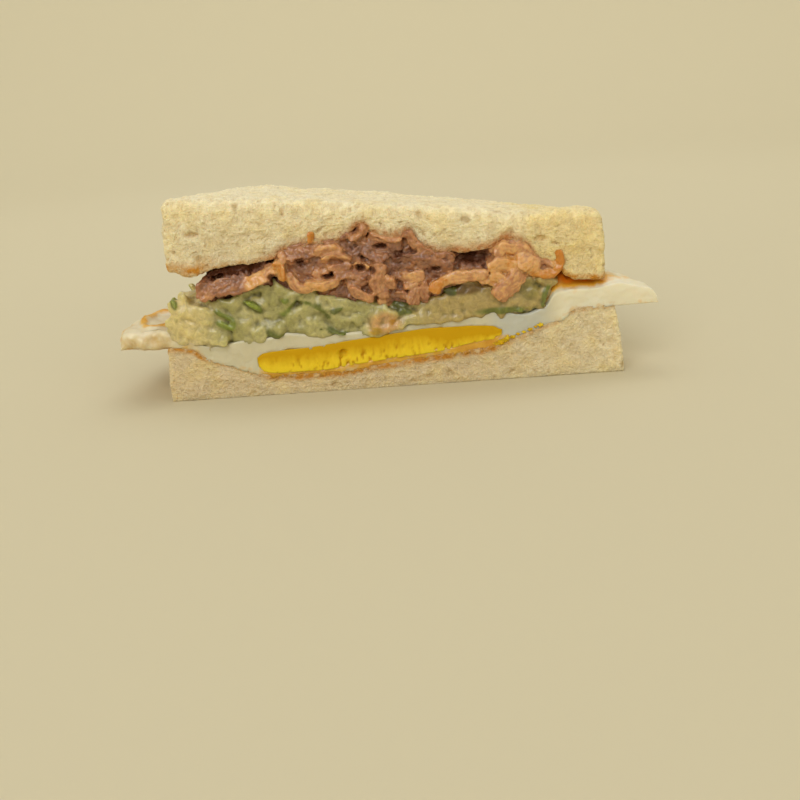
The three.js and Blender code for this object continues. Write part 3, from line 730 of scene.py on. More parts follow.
def white_material(settings):
    """Set egg white: smooth, moist, lets light in a little, browned where it met the pan."""
    made, tree, shader, here, (fried, damp, clear, buttery) = food_material(
        "Fried egg white", ("fried", "damp", "clear", "buttery"), Roughness=0.32, IOR=1.36,
        Coat_Weight=0.25, Coat_Roughness=0.15, Subsurface_Weight=0.45, Subsurface_Scale=0.003,
        Subsurface_Radius=(1.0, 0.8, 0.5),
    )
    # Mottling of 3 mm with lace of 0.7 mm
    mottle = add(tree, "ShaderNodeTexNoise", {
        "Vector": here, "Scale": 330, "Detail": 5, "Roughness": 0.6})
    spots = add(tree, "ShaderNodeMapRange", [mottle, 0.35, 0.65, 0.3, 0.9])
    butter = add(tree, "ShaderNodeMath", [spots, buttery], operation="MULTIPLY")
    # Its middle is painted greyer: painted shade
    layers = [(damp, settings.damp), (clear, settings.clear), (butter, settings.buttery)]
    # The more it is fried, the darker its skin; the orange-brown step is painted brighter, a painted
    # light, and the last step is painted shade at the contact with the upper slice
    amount = add(tree, "ShaderNodeMath", [mottle, 1.5, -0.75], operation="MULTIPLY_ADD")
    amount = add(tree, "ShaderNodeMath", [fried, amount], operation="ADD")
    fried_shades = [
        (0.25, 0.75, settings.browned), (0.75, 1.25, settings.scorched),
        (1.25, 1.6, settings.caramel_and_painted_light), (1.9, 2.3, settings.painted_contact_shade),
    ]
    for start, end, shade in fried_shades:
        layers.append((add(tree, "ShaderNodeMapRange", [amount, start, end]), shade))
    skin = settings.white
    for share, shade in layers:
        skin = add(tree, "ShaderNodeMix", [share, skin, shade], data_type="RGBA")
    surfaced(tree, shader, skin, mottle, 0.25, 0.0006)
    return made


def yolk_material(settings):
    """Firm cooked yolk: dense and silky above, crumbly and brighter below."""
    made, tree, shader, here, (level, sunk) = food_material(
        "Cooked egg yolk", ("level", "pit"), Roughness=0.45, IOR=1.4, Specular_IOR_Level=0.2,
        Subsurface_Weight=0.3, Subsurface_Scale=0.002, Subsurface_Radius=(1.0, 0.6, 0.1),
    )
    # Grains of 1 mm, drawn out upwards
    streaks = add(tree, "ShaderNodeMapping", {"Vector": here, "Scale": (1, 1, 0.35)})
    grains = add(tree, "ShaderNodeTexNoise", {"Vector": streaks, "Scale": 900, "Detail": 3})
    wavy = add(tree, "ShaderNodeMath", [grains, 0.5, level], operation="MULTIPLY_ADD")
    low = add(tree, "ShaderNodeMapRange", [wavy, 1.0, 0.5])
    body = settings.yolk
    # The pits are painted darker: painted shade
    for share, shade in ((low, settings.yolk_low), (sunk, settings.yolk_pit)):
        body = add(tree, "ShaderNodeMix", [share, body, shade], data_type="RGBA")
    strength = add(tree, "ShaderNodeMath", [low, 0.6], operation="MULTIPLY")
    surfaced(tree, shader, body, grains, strength, 0.0005)
    return made


def egg_tree():
    """Soft swells and small blisters on the egg, and pits low in its yolk."""
    tree, given = shape_tree("Egg relief", Swell=0.3, Blister=0.12, Pit=0, Material=None)
    here = millimetres(tree)
    height = 0
    for label, scale, detail in (("Swell", 0.2, 2), ("Blister", 0.9, 3)):
        noise = add(tree, "ShaderNodeTexNoise", {"Vector": here, "Scale": scale, "Detail": detail})
        centred = add(tree, "ShaderNodeMath", [noise, 0.5], operation="SUBTRACT")
        terms = [centred, given.outputs[label], height]
        height = add(tree, "ShaderNodeMath", terms, operation="MULTIPLY_ADD")
    # Pits are drawn out upwards, and only in the lower part
    streaks = add(tree, "ShaderNodeVectorMath", [here, (1, 1, 0.4)], operation="MULTIPLY")
    sunk = ripple(tree, streaks, 0.95, (0.54, 0.66), Detail=2)
    level = add(tree, "GeometryNodeInputNamedAttribute", {"Name": "level"}, data_type="FLOAT")
    low = add(tree, "ShaderNodeMapRange", [level, 0.75, 0.35])
    sunk = add(tree, "ShaderNodeMath", [sunk, low], operation="MULTIPLY")
    inwards = add(tree, "ShaderNodeMath", [given.outputs["Pit"], -0.25], operation="MULTIPLY")
    height = add(tree, "ShaderNodeMath", [sunk, inwards, height], operation="MULTIPLY_ADD")
    # Noise strays about a quarter from its middle, so four times that gives the full relief
    move = add(tree, "ShaderNodeMath", [height, 4 * MM], operation="MULTIPLY")
    return finished(tree, given, moved_out(tree, given.outputs["Mesh"], move, pit=sunk))


# Browned patches of the white: X and Y of the middle, radius, how strongly it is fried
FRIED_PATCHES = [
    (-54, -16, 4, 0.3), (-46, -20, 5, 0.5), (41, -16, 9, 0.8), (54, -18, 6, 0.35), (0, 30, 12, 0.45),
]


def white_reach(angle):
    """How far the white reaches from its centre, with a ruffled rim."""
    turn = np.radians(angle)
    return profile(WHITE_REACH)(angle) + 0.7 * np.sin(turn) * np.sin(turn * 17)


def egg_white_mesh():
    """The white: runs out past both ends of the bread and past its back edge."""
    uvw, faces = lattice(*WHITE_CELLS)
    u, v, w = uvw.T
    x, y, edge = half_disc(u, v, WHITE_CENTRE_X, white_reach)
    depth = y - CUT_Y
    droop = WHITE_DROOP * (np.maximum(y - BACK_Y, 0) / 8) ** 2
    swell = 0.35 * np.sin(x * 0.55 + y * 0.3) * np.sin(y * 0.45 - x * 0.12)
    uneven = 0.3 * np.sin(x * 1.7 + 1.3) + 0.2 * np.sin(x * 3.9) + 0.12 * np.sin(x * 7.1 + y)
    on_bread = stretch(x, -52, 4, 48, 4)
    under = lower_top(x, y) - 0.3 - droop + 0.7 * uneven * smooth(1 - depth / 2) * on_bread
    over = egg_top(x, y) + swell - droop - fall(edge, WHITE_RIM)
    # It swells up and browns where the upper slice rests on it
    room = np.clip(upper_under(x, y) - 0.1 - over, 0, 5)
    swollen = stretch(x, 32, 4, 60, 13) * smooth((depth - 0.2) / 3.4)
    over = over + room * swollen * smooth((20 - depth) / 12)
    raised = (w + 1) / 2
    z = under + (over - under) * raised
    # The white makes room for the cut yolk, but keeps a rim of it
    yolk_top, yolk_foot = profile(YOLK_TOP_AT_CUT), profile(YOLK_UNDER_AT_CUT)
    inside = np.minimum(yolk_top(x) - z, z - yolk_foot(x)) > YOLK_POCKET_RIM
    inside &= (v == -1) & (x > YOLK_TOP_AT_CUT[0][0]) & (x < YOLK_TOP_AT_CUT[-1][0])
    y = y + np.where(inside, YOLK_POCKET, -0.12 * (v == -1) * smooth(edge / 2))
    # The free end at the left is soft and knobbly
    free = smooth((-46 - x) / 5) * smooth(1 - (y - CUT_Y) / 1.5)
    knobs = 1.1 * np.abs(w) ** 4 + 0.45 * np.sin(x * 0.8 + w * 1.4) + 0.2 * np.sin(x * 1.7 - w * 2.2)
    y = y + free * knobs
    height = z - under
    # A toffee-brown ridge that the white folded up on the left
    ring = np.abs(np.hypot((x + 55.3) / 3.8, (y + 12) / 8) - 1) * 5
    ridge = smooth(1 - ring / 1.7) * smooth(raised * 3 - 1.8)
    z = z + 1.1 * ridge
    # Seen from above it is fried in patches, on the ridge and along the rim
    fried = sum(s * smooth(1.3 - np.hypot(x - px, y - py) / r) for px, py, r, s in FRIED_PATCHES)
    rim = (0.45 + 0.25 * smooth((x - 48) / 4)) * smooth((59 - x) / 4) * smooth(1 - edge / 3)
    fried = np.maximum(np.maximum(fried, 0.85 * ridge), rim) * smooth(raised * 3 - 1.6)
    # Where it meets the upper slice it goes from yellow to dark brown: the orange there is painted
    # brighter, a painted light, and the dark brown line at the contact is painted shade
    at_slice = smooth((x - 32) / 3) * (0.2 + 0.8 * smooth((50 - x) / 3)) * smooth(raised * 4 - 2.6)
    contact = smooth((depth - 0.1) / 3.2) * (1 - 0.8 * smooth((depth - 4) / 4))
    contact = 2.4 * contact * at_slice * smooth((59 - x) / 5)
    # The pan's side is browned, most of all under the yolk
    pan_side = 0.9 * smooth(1 - raised * 6) * smooth((y - CUT_Y) / 1.5)
    under_yolk = stretch(x, -34, 6, 30, 8)
    band = 1 + under_yolk * (yolk_foot(x) - under - 0.4)
    foot = (0.3 + 0.5 * under_yolk) * smooth((band + 0.75 - height) / 0.9) * smooth((x + 56) / 8)
    for more in (contact, pan_side, foot):
        fried = np.maximum(fried, more)
    # The greyer middle of the white is painted shade
    return mesh_object(
        "egg_white_fried", np.stack([x, y, z], -1), faces, fried=fried, damp=stretch(x, -50, 8, 40, 6),
        clear=stretch(x, 20, 6, 38, 6),
        buttery=stretch(x, -66, 6, -42, 5) * (1 - 0.6 * smooth(raised * 3 - 2)),
    )


def yolk_mesh():
    """The yolk: a pressed lens, thicker on the left, half of it left by the cut."""
    uvw, faces = lattice(*YOLK_CELLS)
    u, v, w = uvw.T
    centre_x = (YOLK_BOX[0][0] + YOLK_BOX[1][0]) / 2
    radius = (YOLK_BOX[1][0] - YOLK_BOX[0][0]) / 2
    x, y, _ = half_disc(u, v, centre_x, lambda angle: np.full_like(angle, radius))
    bed = profile(LOWER_TOP_AT_CUT)
    away = np.minimum(np.hypot(x - centre_x, y - CUT_Y), radius)
    rightward = (np.divide(x - centre_x, away, out=np.zeros_like(x), where=away > 0) + 1) / 2

    def over_bed(line):
        left = line(centre_x - away) - bed(centre_x - away)
        right = line(centre_x + away) - bed(centre_x + away)
        return lower_top(x, y) + left + (right - left) * rightward

    under = over_bed(profile(YOLK_UNDER_AT_CUT))
    over = over_bed(profile(YOLK_TOP_AT_CUT))
    raised = (w + 1) / 2
    z = under + (over - under) * raised
    y = y - YOLK_STANDS_OUT * (1 - ((v + 1) / 2)) ** 4
    bubble_x, bubble_z, wide, depth = YOLK_BUBBLE
    y = y + depth * smooth(2.2 - 2.2 * np.hypot(x - bubble_x, z - bubble_z) / wide) * (v == -1)
    # The right half is dense up to its foot
    return mesh_object(
        "egg_yolk_cut", np.stack([x, y, z], -1), faces, level=raised + 0.3 * smooth((x - 6) / 8))


# Crumbs of yolk that the knife dragged to the right: X, Z and radius
YOLK_CRUMBS = [
    (23.8, 8.8, 0.6), (24.7, 9.0, 0.8), (25.7, 9.4, 0.65), (26.5, 9.9, 0.7), (27.4, 10.0, 0.5),
    (28.6, 10.6, 0.4), (30.0, 11.0, 0.4), (31.4, 11.5, 0.45), (32.6, 12.0, 0.35), (33.7, 12.4, 0.6),
]


def crumbs_mesh():
    """Small round crumbs of yolk along the underside of the white."""
    cells, faces = lattice(8, 8, 8)
    ball = cells / np.linalg.norm(cells, axis=1)[:, None]
    parts = []
    for number, (x, z, radius) in enumerate(YOLK_CRUMBS):
        lumpy = 1 + 0.35 * np.sin(ball[:, :1] * 5 + number) * np.cos(ball[:, 2:] * 4 + number)
        points = ball * lumpy * radius * (1.3, 0.8, 0.8) + (x, CUT_Y - 0.15, z)
        parts.append((points, faces, {"level": np.full(len(ball), 0.4 + 0.25 * (number % 3))}))
    return gathered("yolk_crumbs", parts)


class SANDWICH_OT_egg(bpy.types.Operator):
    """Adds the fried egg: its white and its cut yolk"""
    bl_idname = "sandwich.egg"
    bl_label = "Fried egg"

    def execute(self, context):
        settings = context.scene.sandwich_egg
        tree = egg_tree()
        white = shaped(egg_white_mesh(), tree, Material=white_material(settings))
        piece(white, "egg_white", "egg_white")
        yolk = joined(yolk_mesh(), crumbs_mesh())
        shaped(yolk, tree, Swell=0.03, Blister=0.03, Pit=0.3, Material=yolk_material(settings))
        piece(yolk, "egg_yolk", "egg_yolk")
        return {"FINISHED"}


# Pieces that show at the cut, in the order of the layers. Each has its route across X and Z, its
# thickness, how far it stands out of the cut (all in mm), and its tone from dark 0 to bright 1.
# The darkest tones, on pieces set back, are painted shade.
BEEF_AT_CUT = [
    ([(-40.2, 28.8), (-37.2, 29.7), (-32.5, 30.1), (-26.9, 30.8)], 1.8, -1.2, 0.03),
    ([(-41.9, 25.0), (-38.1, 25.9), (-34.3, 26.4), (-30.8, 26.6)], 3.4, 1.2, 0.47),
    ([(-41.2, 27.6), (-41.3, 25.8), (-41.4, 23.9)], 2.0, 1.4, 0.45),
    ([(-31.8, 26.3), (-29.4, 27.0), (-27.1, 27.9), (-24.6, 29.1)], 2.5, 1.3, 0.8),
    ([(-24.8, 30.2), (-23.3, 30.1), (-23.0, 28.5), (-23.4, 26.7)], 1.7, 2.0, 0.92),
    ([(-23.4, 32.9), (-22.5, 31.9), (-22.5, 30.3)], 2.0, 1.2, 0.7),
    ([(-21.5, 31.6), (-19.0, 32.3), (-16.2, 32.9), (-14.2, 33.4)], 3.0, 0.8, 0.5),
    ([(-21.5, 30.3), (-19.2, 30.7), (-16.8, 31.2)], 1.6, 0.6, 0.45),
    ([(-15.8, 36.9), (-15.9, 35.8), (-16.1, 34.4)], 1.2, 1.0, 1),
    ([(-15.4, 32.2), (-13.2, 32.9), (-10.8, 32.7), (-9.5, 31.7)], 2.0, 1.0, 0.66),
    ([(-14.1, 30.4), (-11.7, 31.3), (-9.2, 30.9), (-7.8, 29.9)], 1.6, 1.1, 0.66),
    ([(-12.9, 28.6), (-10.8, 29.0), (-8.7, 28.8), (-7.7, 29.5)], 1.6, 1.0, 0.6),
    ([(-16.3, 28.2), (-14.4, 27.2), (-12.8, 28.0)], 1.8, 0.5, 0.72),
    ([(-18.2, 29.6), (-16.2, 29.7), (-14.7, 28.6)], 1.4, -0.6, 0.2),
    ([(-21.4, 28.4), (-20.9, 26.3), (-19.1, 24.7), (-16.5, 24.7)], 2.2, 1.4, 0.66),
    ([(-18.1, 25.6), (-15.9, 25.0), (-13.4, 24.9), (-10.5, 26.0)], 2.4, 1.7, 0.78),
    ([(-7.6, 34.6), (-5.9, 35.9), (-4.7, 37.3), (-3.4, 35.9)], 2.2, 0.8, 0.6),
    ([(-3.8, 34.1), (-1.5, 33.4), (1.1, 32.8), (3.8, 32.4)], 3.2, 0.4, 0.4),
    ([(-5.1, 32.2), (-3.0, 30.8), (-0.9, 30.3), (0.6, 30.9)], 2.0, 0.8, 0.42),
    ([(4.0, 34.7), (5.4, 34.9), (6.1, 33.3), (7.6, 31.7), (9.7, 30.6)], 2.0, 1.0, 0.52),
    ([(-3.0, 35.7), (-0.5, 34.7), (1.6, 33.9), (3.9, 34.0)], 1.0, 0.9, 0.7),
    ([(-21.5, 33.2), (-16.0, 34.2), (-11.0, 34.4), (-7.5, 35.6)], 1.6, 0.2, 0.42),
    ([(23.0, 29.6), (26.0, 31.9), (29.4, 31.4), (32.0, 29.4), (35.5, 27.0), (39.0, 25.6)], 1.8, 0.3, 0.6),
    ([(31.5, 27.6), (34.5, 26.2), (37.0, 25.4)], 2.4, -0.4, 0.5),
    ([(1.5, 29.8), (4.5, 29.7), (7.3, 29.5), (9.7, 29.0)], 2.0, 0.8, 0.3),
    ([(1.1, 28.1), (3.9, 27.7), (6.6, 27.9), (9.7, 27.5)], 2.0, 0.5, 0.33),
    ([(-7.2, 28.9), (-5.4, 28.6), (-3.6, 28.1)], 1.6, 1.0, 0.82),
    ([(-7.6, 29.9), (-5.7, 29.6), (-2.8, 29.0)], 1.6, -0.8, 0.15),
    ([(-0.9, 29.1), (-1.8, 26.9), (-2.2, 24.6), (-2.0, 22.3)], 3.4, 2.0, 0.66),
    ([(-0.9, 25.7), (0.5, 24.7), (1.8, 24.8)], 2.6, 1.8, 0.63),
    ([(-2.9, 23.0), (-1.3, 22.3), (0.3, 22.4)], 2.2, 1.5, 0.62),
    ([(-11.7, 27.4), (-8.8, 27.2), (-6.3, 26.8), (-4.1, 26.9)], 2.0, 0.9, 0.56),
    ([(-9.0, 25.7), (-8.0, 24.3), (-6.5, 24.6), (-4.6, 25.6)], 1.8, 0.8, 0.55),
    ([(-8.4, 23.6), (-6.6, 22.5), (-4.9, 21.8), (-3.1, 21.2)], 2.0, 1.5, 0.64),
    ([(-11.5, 23.2), (-10.0, 23.6), (-8.6, 22.4)], 2.2, -0.7, 0.12),
    ([(3.1, 25.3), (5.4, 25.6), (8.3, 25.6)], 2.4, 1.0, 0.66),
    ([(3.4, 23.6), (5.0, 23.6), (6.7, 24.1)], 1.8, 1.0, 0.6),
    ([(6.3, 23.4), (5.6, 21.4), (5.1, 19.3)], 2.0, 1.2, 0.6),
    ([(8.1, 23.2), (8.4, 21.1), (7.9, 19.3)], 1.7, 0.9, 0.46),
    ([(1.4, 21.6), (2.9, 21.5), (4.1, 20.6)], 1.5, 0.6, 0.5),
    ([(5.6, 28.9), (8.9, 28.4), (12.1, 27.2), (14.7, 26.8)], 2.6, 1.0, 0.42),
    ([(8.8, 31.0), (11.6, 29.6), (13.7, 29.7), (14.8, 28.2)], 1.9, 0.9, 0.5),
    ([(7.3, 26.4), (9.9, 26.0), (13.0, 25.8)], 1.8, 0.3, 0.28),
    ([(6.6, 25.9), (7.8, 23.3), (7.9, 19.9)], 2.0, 0.8, 0.52),
    ([(5.2, 23.6), (6.0, 21.3), (6.1, 19.1)], 1.8, 0.9, 0.56),
    ([(8.9, 25.3), (8.8, 23.1), (8.4, 21.2)], 1.5, 0.2, 0.35),
    ([(9.9, 21.9), (11.0, 23.4), (13.6, 24.4)], 2.3, 1.9, 0.95),
    ([(12.4, 24.1), (15.5, 24.7), (18.6, 25.0), (22.2, 25.0)], 2.5, 1.7, 0.78),
    ([(15.1, 25.2), (17.1, 25.4), (19.2, 25.5)], 1.4, 1.0, 0.72),
    ([(16.4, 27.4), (18.8, 28.5), (21.2, 29.3), (23.6, 29.6)], 3.0, -1.6, 0.08),
    ([(17.0, 26.2), (19.0, 26.9), (21.2, 27.3)], 1.6, -0.6, 0.3),
    ([(17.3, 28.3), (17.0, 27.1), (16.4, 25.7)], 1.2, -0.2, 0.5),
    ([(24.1, 28.7), (25.8, 30.4), (28.1, 30.0), (30.5, 29.6), (31.9, 27.9)], 2.9, 1.2, 0.74),
    ([(22.4, 26.1), (24.6, 27.0), (27.2, 26.4), (28.9, 25.4)], 3.4, 1.7, 0.86),
    ([(28.6, 26.8), (30.6, 27.0), (32.2, 26.0), (30.8, 24.6)], 3.2, 1.6, 0.84),
    ([(20.3, 24.0), (22.4, 23.6), (24.1, 22.5)], 2.0, 1.4, 0.78),
    ([(29.4, 25.0), (28.0, 23.2), (26.0, 21.4), (23.8, 19.6)], 3.9, 2.0, 0.7),
    ([(22.6, 24.2), (24.4, 24.0), (26.0, 23.0)], 2.6, 1.6, 0.82),
    ([(32.3, 24.7), (34.8, 23.9), (36.9, 24.2), (38.1, 25.6), (38.3, 27.4), (37.9, 29.2)], 1.7, 1.0, 1),
]
# Hollows between the slices, pushed back and given the darkest tone as painted shade:
# X and Z of the middle, half width, half height and depth
BEEF_HOLLOWS = [
    (-10.2, 36.1, 1.0, 1.1, 2.2), (-6.3, 37.0, 0.9, 0.8, 2.0), (-18.9, 30.5, 0.9, 0.7, 1.6),
    (-5.7, 28.4, 1.0, 0.7, 2.4), (-25.2, 27.6, 0.9, 0.7, 2.0), (-13.0, 26.9, 1.4, 0.5, 1.4),
    (-1.0, 32.6, 1.3, 0.6, 1.6), (3.0, 30.6, 1.0, 0.4, 1.2), (-2.9, 27.6, 0.6, 0.6, 1.4),
    (13.0, 33.0, 1.4, 0.9, 1.6), (19.3, 28.6, 3.4, 1.3, 1.6), (11.0, 27.0, 1.0, 0.5, 1.2),
]
# Shreds of meat that hang over the salad and lie on the egg
BEEF_STRANDS = [
    ([(-1.6, 21.4), (-1.3, 20.2), (-1.8, 19.0)], 2.2, 0.3, 0.74),
]
# Pieces of skin in the salad: tone 0.1 is nearly black, 0.9 bright green. The darkest ones are
# painted shade, in the hollows under the beef
SALAD_SKINS = [
    ([(-32.1, 22.6), (-30.3, 21.6), (-28.5, 19.7)], 0.8, 0.8, 0.9),
    ([(-24.2, 22.1), (-23.2, 22.2), (-22.1, 22.5)], 0.7, 0.6, 0.6),
    ([(-39.4, 21.1), (-37.5, 19.7), (-35.5, 18.4), (-35.3, 16.3)], 0.6, 0.6, 0.5),
    ([(-39.6, 18.2), (-37.3, 17.5), (-35.3, 16.4)], 0.7, 0.7, 0.85),
    ([(-48.8, 24.2), (-48.1, 23.2), (-47.7, 22.0)], 0.8, 0.8, 0.85),
    ([(-20.0, 21.7), (-17.5, 21.1), (-16.1, 19.9), (-15.1, 21.2)], 0.5, 0.5, 0.25),
    ([(-14.7, 20.8), (-12.8, 18.7), (-10.6, 19.5)], 0.6, 0.5, 0.25),
    ([(-17.2, 15.1), (-14.2, 15.1), (-12.2, 13.6), (-9.7, 13.5)], 0.5, 0.7, 0.4),
    ([(12.1, 22.1), (14.4, 21.5), (16.9, 21.5)], 1.4, 0.2, 0.12),
    ([(0.6, 20.0), (2.3, 19.4), (4.2, 19.3)], 1.6, 0.0, 0.08),
    ([(-1.0, 18.3), (1.7, 17.6), (4.3, 17.6), (5.5, 16.7)], 0.9, 0.6, 0.35),
    ([(1.5, 15.5), (3.2, 14.9), (5.2, 15.4)], 0.8, 0.7, 0.6),
    ([(26.1, 16.9), (27.8, 16.4), (29.7, 15.9)], 0.6, 0.7, 0.6),
    ([(35.6, 21.5), (35.0, 19.4), (34.6, 17.4), (34.0, 16.6)], 0.7, 0.6, 0.35),
]
# Long pale shreds that lie along the cut
SALAD_SHREDS = [
    ([(8.7, 19.2), (15.0, 18.6), (21.9, 18.5), (27.9, 19.2)], 3.6, 0.6, 0.3),
    ([(3.5, 16.0), (10.3, 15.9), (18.0, 16.6), (24.0, 17.6)], 3.0, 0.7, 0.2),
    ([(16.4, 20.7), (22.0, 20.7), (27.5, 20.3), (32.2, 20.8)], 3.2, 0.3, 0.3),
    ([(25.4, 17.4), (30.3, 17.9), (33.8, 19.6)], 3.4, 0.6, 0.3),
    ([(-49.5, 19.5), (-45.5, 17.4), (-41.0, 15.0), (-37.0, 13.6)], 3.6, 0.9, 0.1),
    ([(-47.5, 22.4), (-43.5, 20.6), (-40.0, 19.0)], 3.4, 0.7, 0.1),
    ([(-6.0, 14.3), (-3.0, 14.6), (0.5, 15.0), (3.2, 14.6)], 2.6, 0.9, 0.1),
    ([(-3.5, 16.6), (-1.0, 17.4), (1.5, 16.6)], 2.4, 0.8, 0.1),
    ([(-5.2, 13.2), (-2.6, 13.2), (0.4, 13.9)], 1.5, 0.8, 0.1),
    ([(33.2, 22.6), (35.6, 22.3), (37.8, 21.2)], 2.2, 0.3, 0.4),
]
BEEF_SLICES_BEHIND = 34
# Finest detail of the beef where it shows less, in mm
CORE_VOXEL = 0.5
BEHIND_VOXEL = 0.4


# How finely a curve is first followed between two points of its route
ROUTE_STEPS = 24


def route_curve(route, steps):
    """Evenly spaced points along a smooth curve through the route, and their sideways directions."""
    knots = np.array(route, float)
    knots = np.concatenate([2 * knots[:1] - knots[1:2], knots, 2 * knots[-1:] - knots[-2:-1]])
    t = np.linspace(0, len(route) - 1, ROUTE_STEPS * len(route))
    i = np.minimum(t.astype(int), len(route) - 2)
    f = (t - i)[:, None]
    a, b, c, d = knots[i], knots[i + 1], knots[i + 2], knots[i + 3]
    curve = b + 0.5 * f * (c - a + f * (2 * a - 5 * b + 4 * c - d + f * (3 * (b - c) + d - a)))
    length = np.concatenate([[0], np.cumsum(np.linalg.norm(np.diff(curve, axis=0), axis=1))])
    at = np.linspace(0, length[-1], steps)
    points = np.stack([np.interp(at, length, curve[:, k]) for k in (0, 1)], -1)
    tangent = np.gradient(points, axis=0)
    tangent /= np.linalg.norm(tangent, axis=1)[:, None]
    return points, np.stack([-tangent[:, 1], tangent[:, 0]], -1), length[-1]


def folded_slice(route, thick, depth, tone, random, fine=0.25, deep_cells=20, pointed=0):
    """A limp slice seen end on: its route lies in X and Z, and it runs back from Y = 0."""
    points, sideways, length = route_curve(route, max(8, int(length_of(route) / fine)))
    cells = (len(points) - 1, deep_cells, max(4, int(thick / fine)))
    uvw, faces = lattice(*cells)
    u, v, w = uvw.T
    t = (u + 1) / 2
    back = (v + 1) / 2
    place = np.rint(t * cells[0]).astype(int)
    phase = random.uniform(0, 6.28, 6)
    # Long and short waves make it wavy and ragged, a little differently on its two sides
    run = t * length
    side = w * 0.9
    wave = np.sin(run * 0.55 + phase[0] + side) * 0.6 + np.sin(run * 1.5 + phase[1] - side) * 0.4
    ragged = np.sin(run * 1.6 + phase[2]) * 0.5 + np.sin(run * 3.7 + phase[3] + w * 2) * 0.5
    # Blunt at both ends of the route, softer at the front edge
    ends = (1 - np.abs(u) ** 9) ** 0.5 * (1 - pointed * np.abs(u) ** 1.5)
    fullness = 0.45 * (1 - pointed) + (0.55 + 0.45 * pointed) * ends
    half = thick / 2 * fullness * (1 + 0.12 * wave + 0.12 * ragged)
    half *= 1 + 0.15 * np.sin(back * 5 + phase[4])
    curl = random.uniform(-1.2, 1.2, 2)
    tilt = random.uniform(-0.6, 0.6, 2)
    x, z = [points[place, k] + sideways[place, k] * w * half + curl[k] * back ** 2 for k in (0, 1)]
    pillow = np.minimum(thick / 2, 0.5) * (np.abs(w) ** 4 * 0.5 + np.abs(u) ** 10 * 0.5)
    deep = back ** 1.6 * depth
    y = deep + (pillow + 0.16 * ragged + tilt[0] * u + tilt[1] * w) * (1 - back) ** 3
    along = run + random.uniform(0, 300)
    stored = {"along": along, "across": w * half, "deep": deep, "tone": tone + 0 * t}
    return np.stack([x, y, z], -1), faces, stored


def length_of(route):
    """Length of a route along its straight parts."""
    return float(np.linalg.norm(np.diff(np.array(route), axis=0), axis=1).sum())


def gathered(name, parts):
    """One mesh object of several pieces, each with its points, its faces and its stored numbers."""
    starts = np.cumsum([0] + [len(points) for points, *_ in parts[:-1]])
    faces = np.concatenate([quads + start for (_, quads, _), start in zip(parts, starts)])
    stored = {label: np.concatenate([part[2][label] for part in parts]) for label in parts[0][2]}
    return mesh_object(name, np.concatenate([points for points, *_ in parts]), faces, **stored)


def turned(points, angle, place):
    """Points turned about the vertical and moved."""
    c, s = math.cos(angle), math.sin(angle)
    x, y, z = points.T
    return np.stack([c * x - s * y, s * x + c * y, z], -1) + place


def heap_core(name, left, right, front, back, low, high, cells, **attributes):
    """The inside of a heap: flat along the cut, round at the back corners and 3 mm round above."""
    uvw, faces = lattice(*cells)
    u, v, w = uvw.T
    depth = (v + 1) / 2
    x = (left + right) / 2 + u * (1 - 0.22 * depth ** 4) * (right - left) / 2
    near = front(x)
    y = near + (back - near) * depth * (1 - 0.12 * u ** 4 * depth)
    edge = np.minimum((1 - np.abs(u)) * (right - left) / 2, (1 - depth) * (back - near))
    bottom = low(x, y)
    # It is nowhere thinner than 0.6 mm
    z = bottom + np.maximum(high(x, y) - fall(edge, 3) - bottom, 0.6) * ((w + 1) / 2)
    return mesh_object(name, np.stack([x, y, z], -1), faces, **attributes)


# Places at the cut where the salad's colour changes: juice and egg at the first three, painted
# shade under the beef strip at the fourth, darker green along the lower edge and olive at the
# right end. Middle and reach in X and Z, colour
MUSH_AND_SHADE_SPOTS = [
    ((-1.2, 15.4), (5.2, 3.6), "#c49c66"),
    ((-3.4, 13.7), (2.2, 1.3), "#ad8a2c"),
    ((0.6, 15.6), (1.2, 0.9), "#b8862e"),
    # Painted shade under the beef strip
    ((16.5, 21.9), (8, 1.8), "#6d5428"),
    ((25, 16.4), (8, 1.2), "#6f7434"),
    ((31.5, 20.5), (3.2, 3.4), "#8f8248"),
]


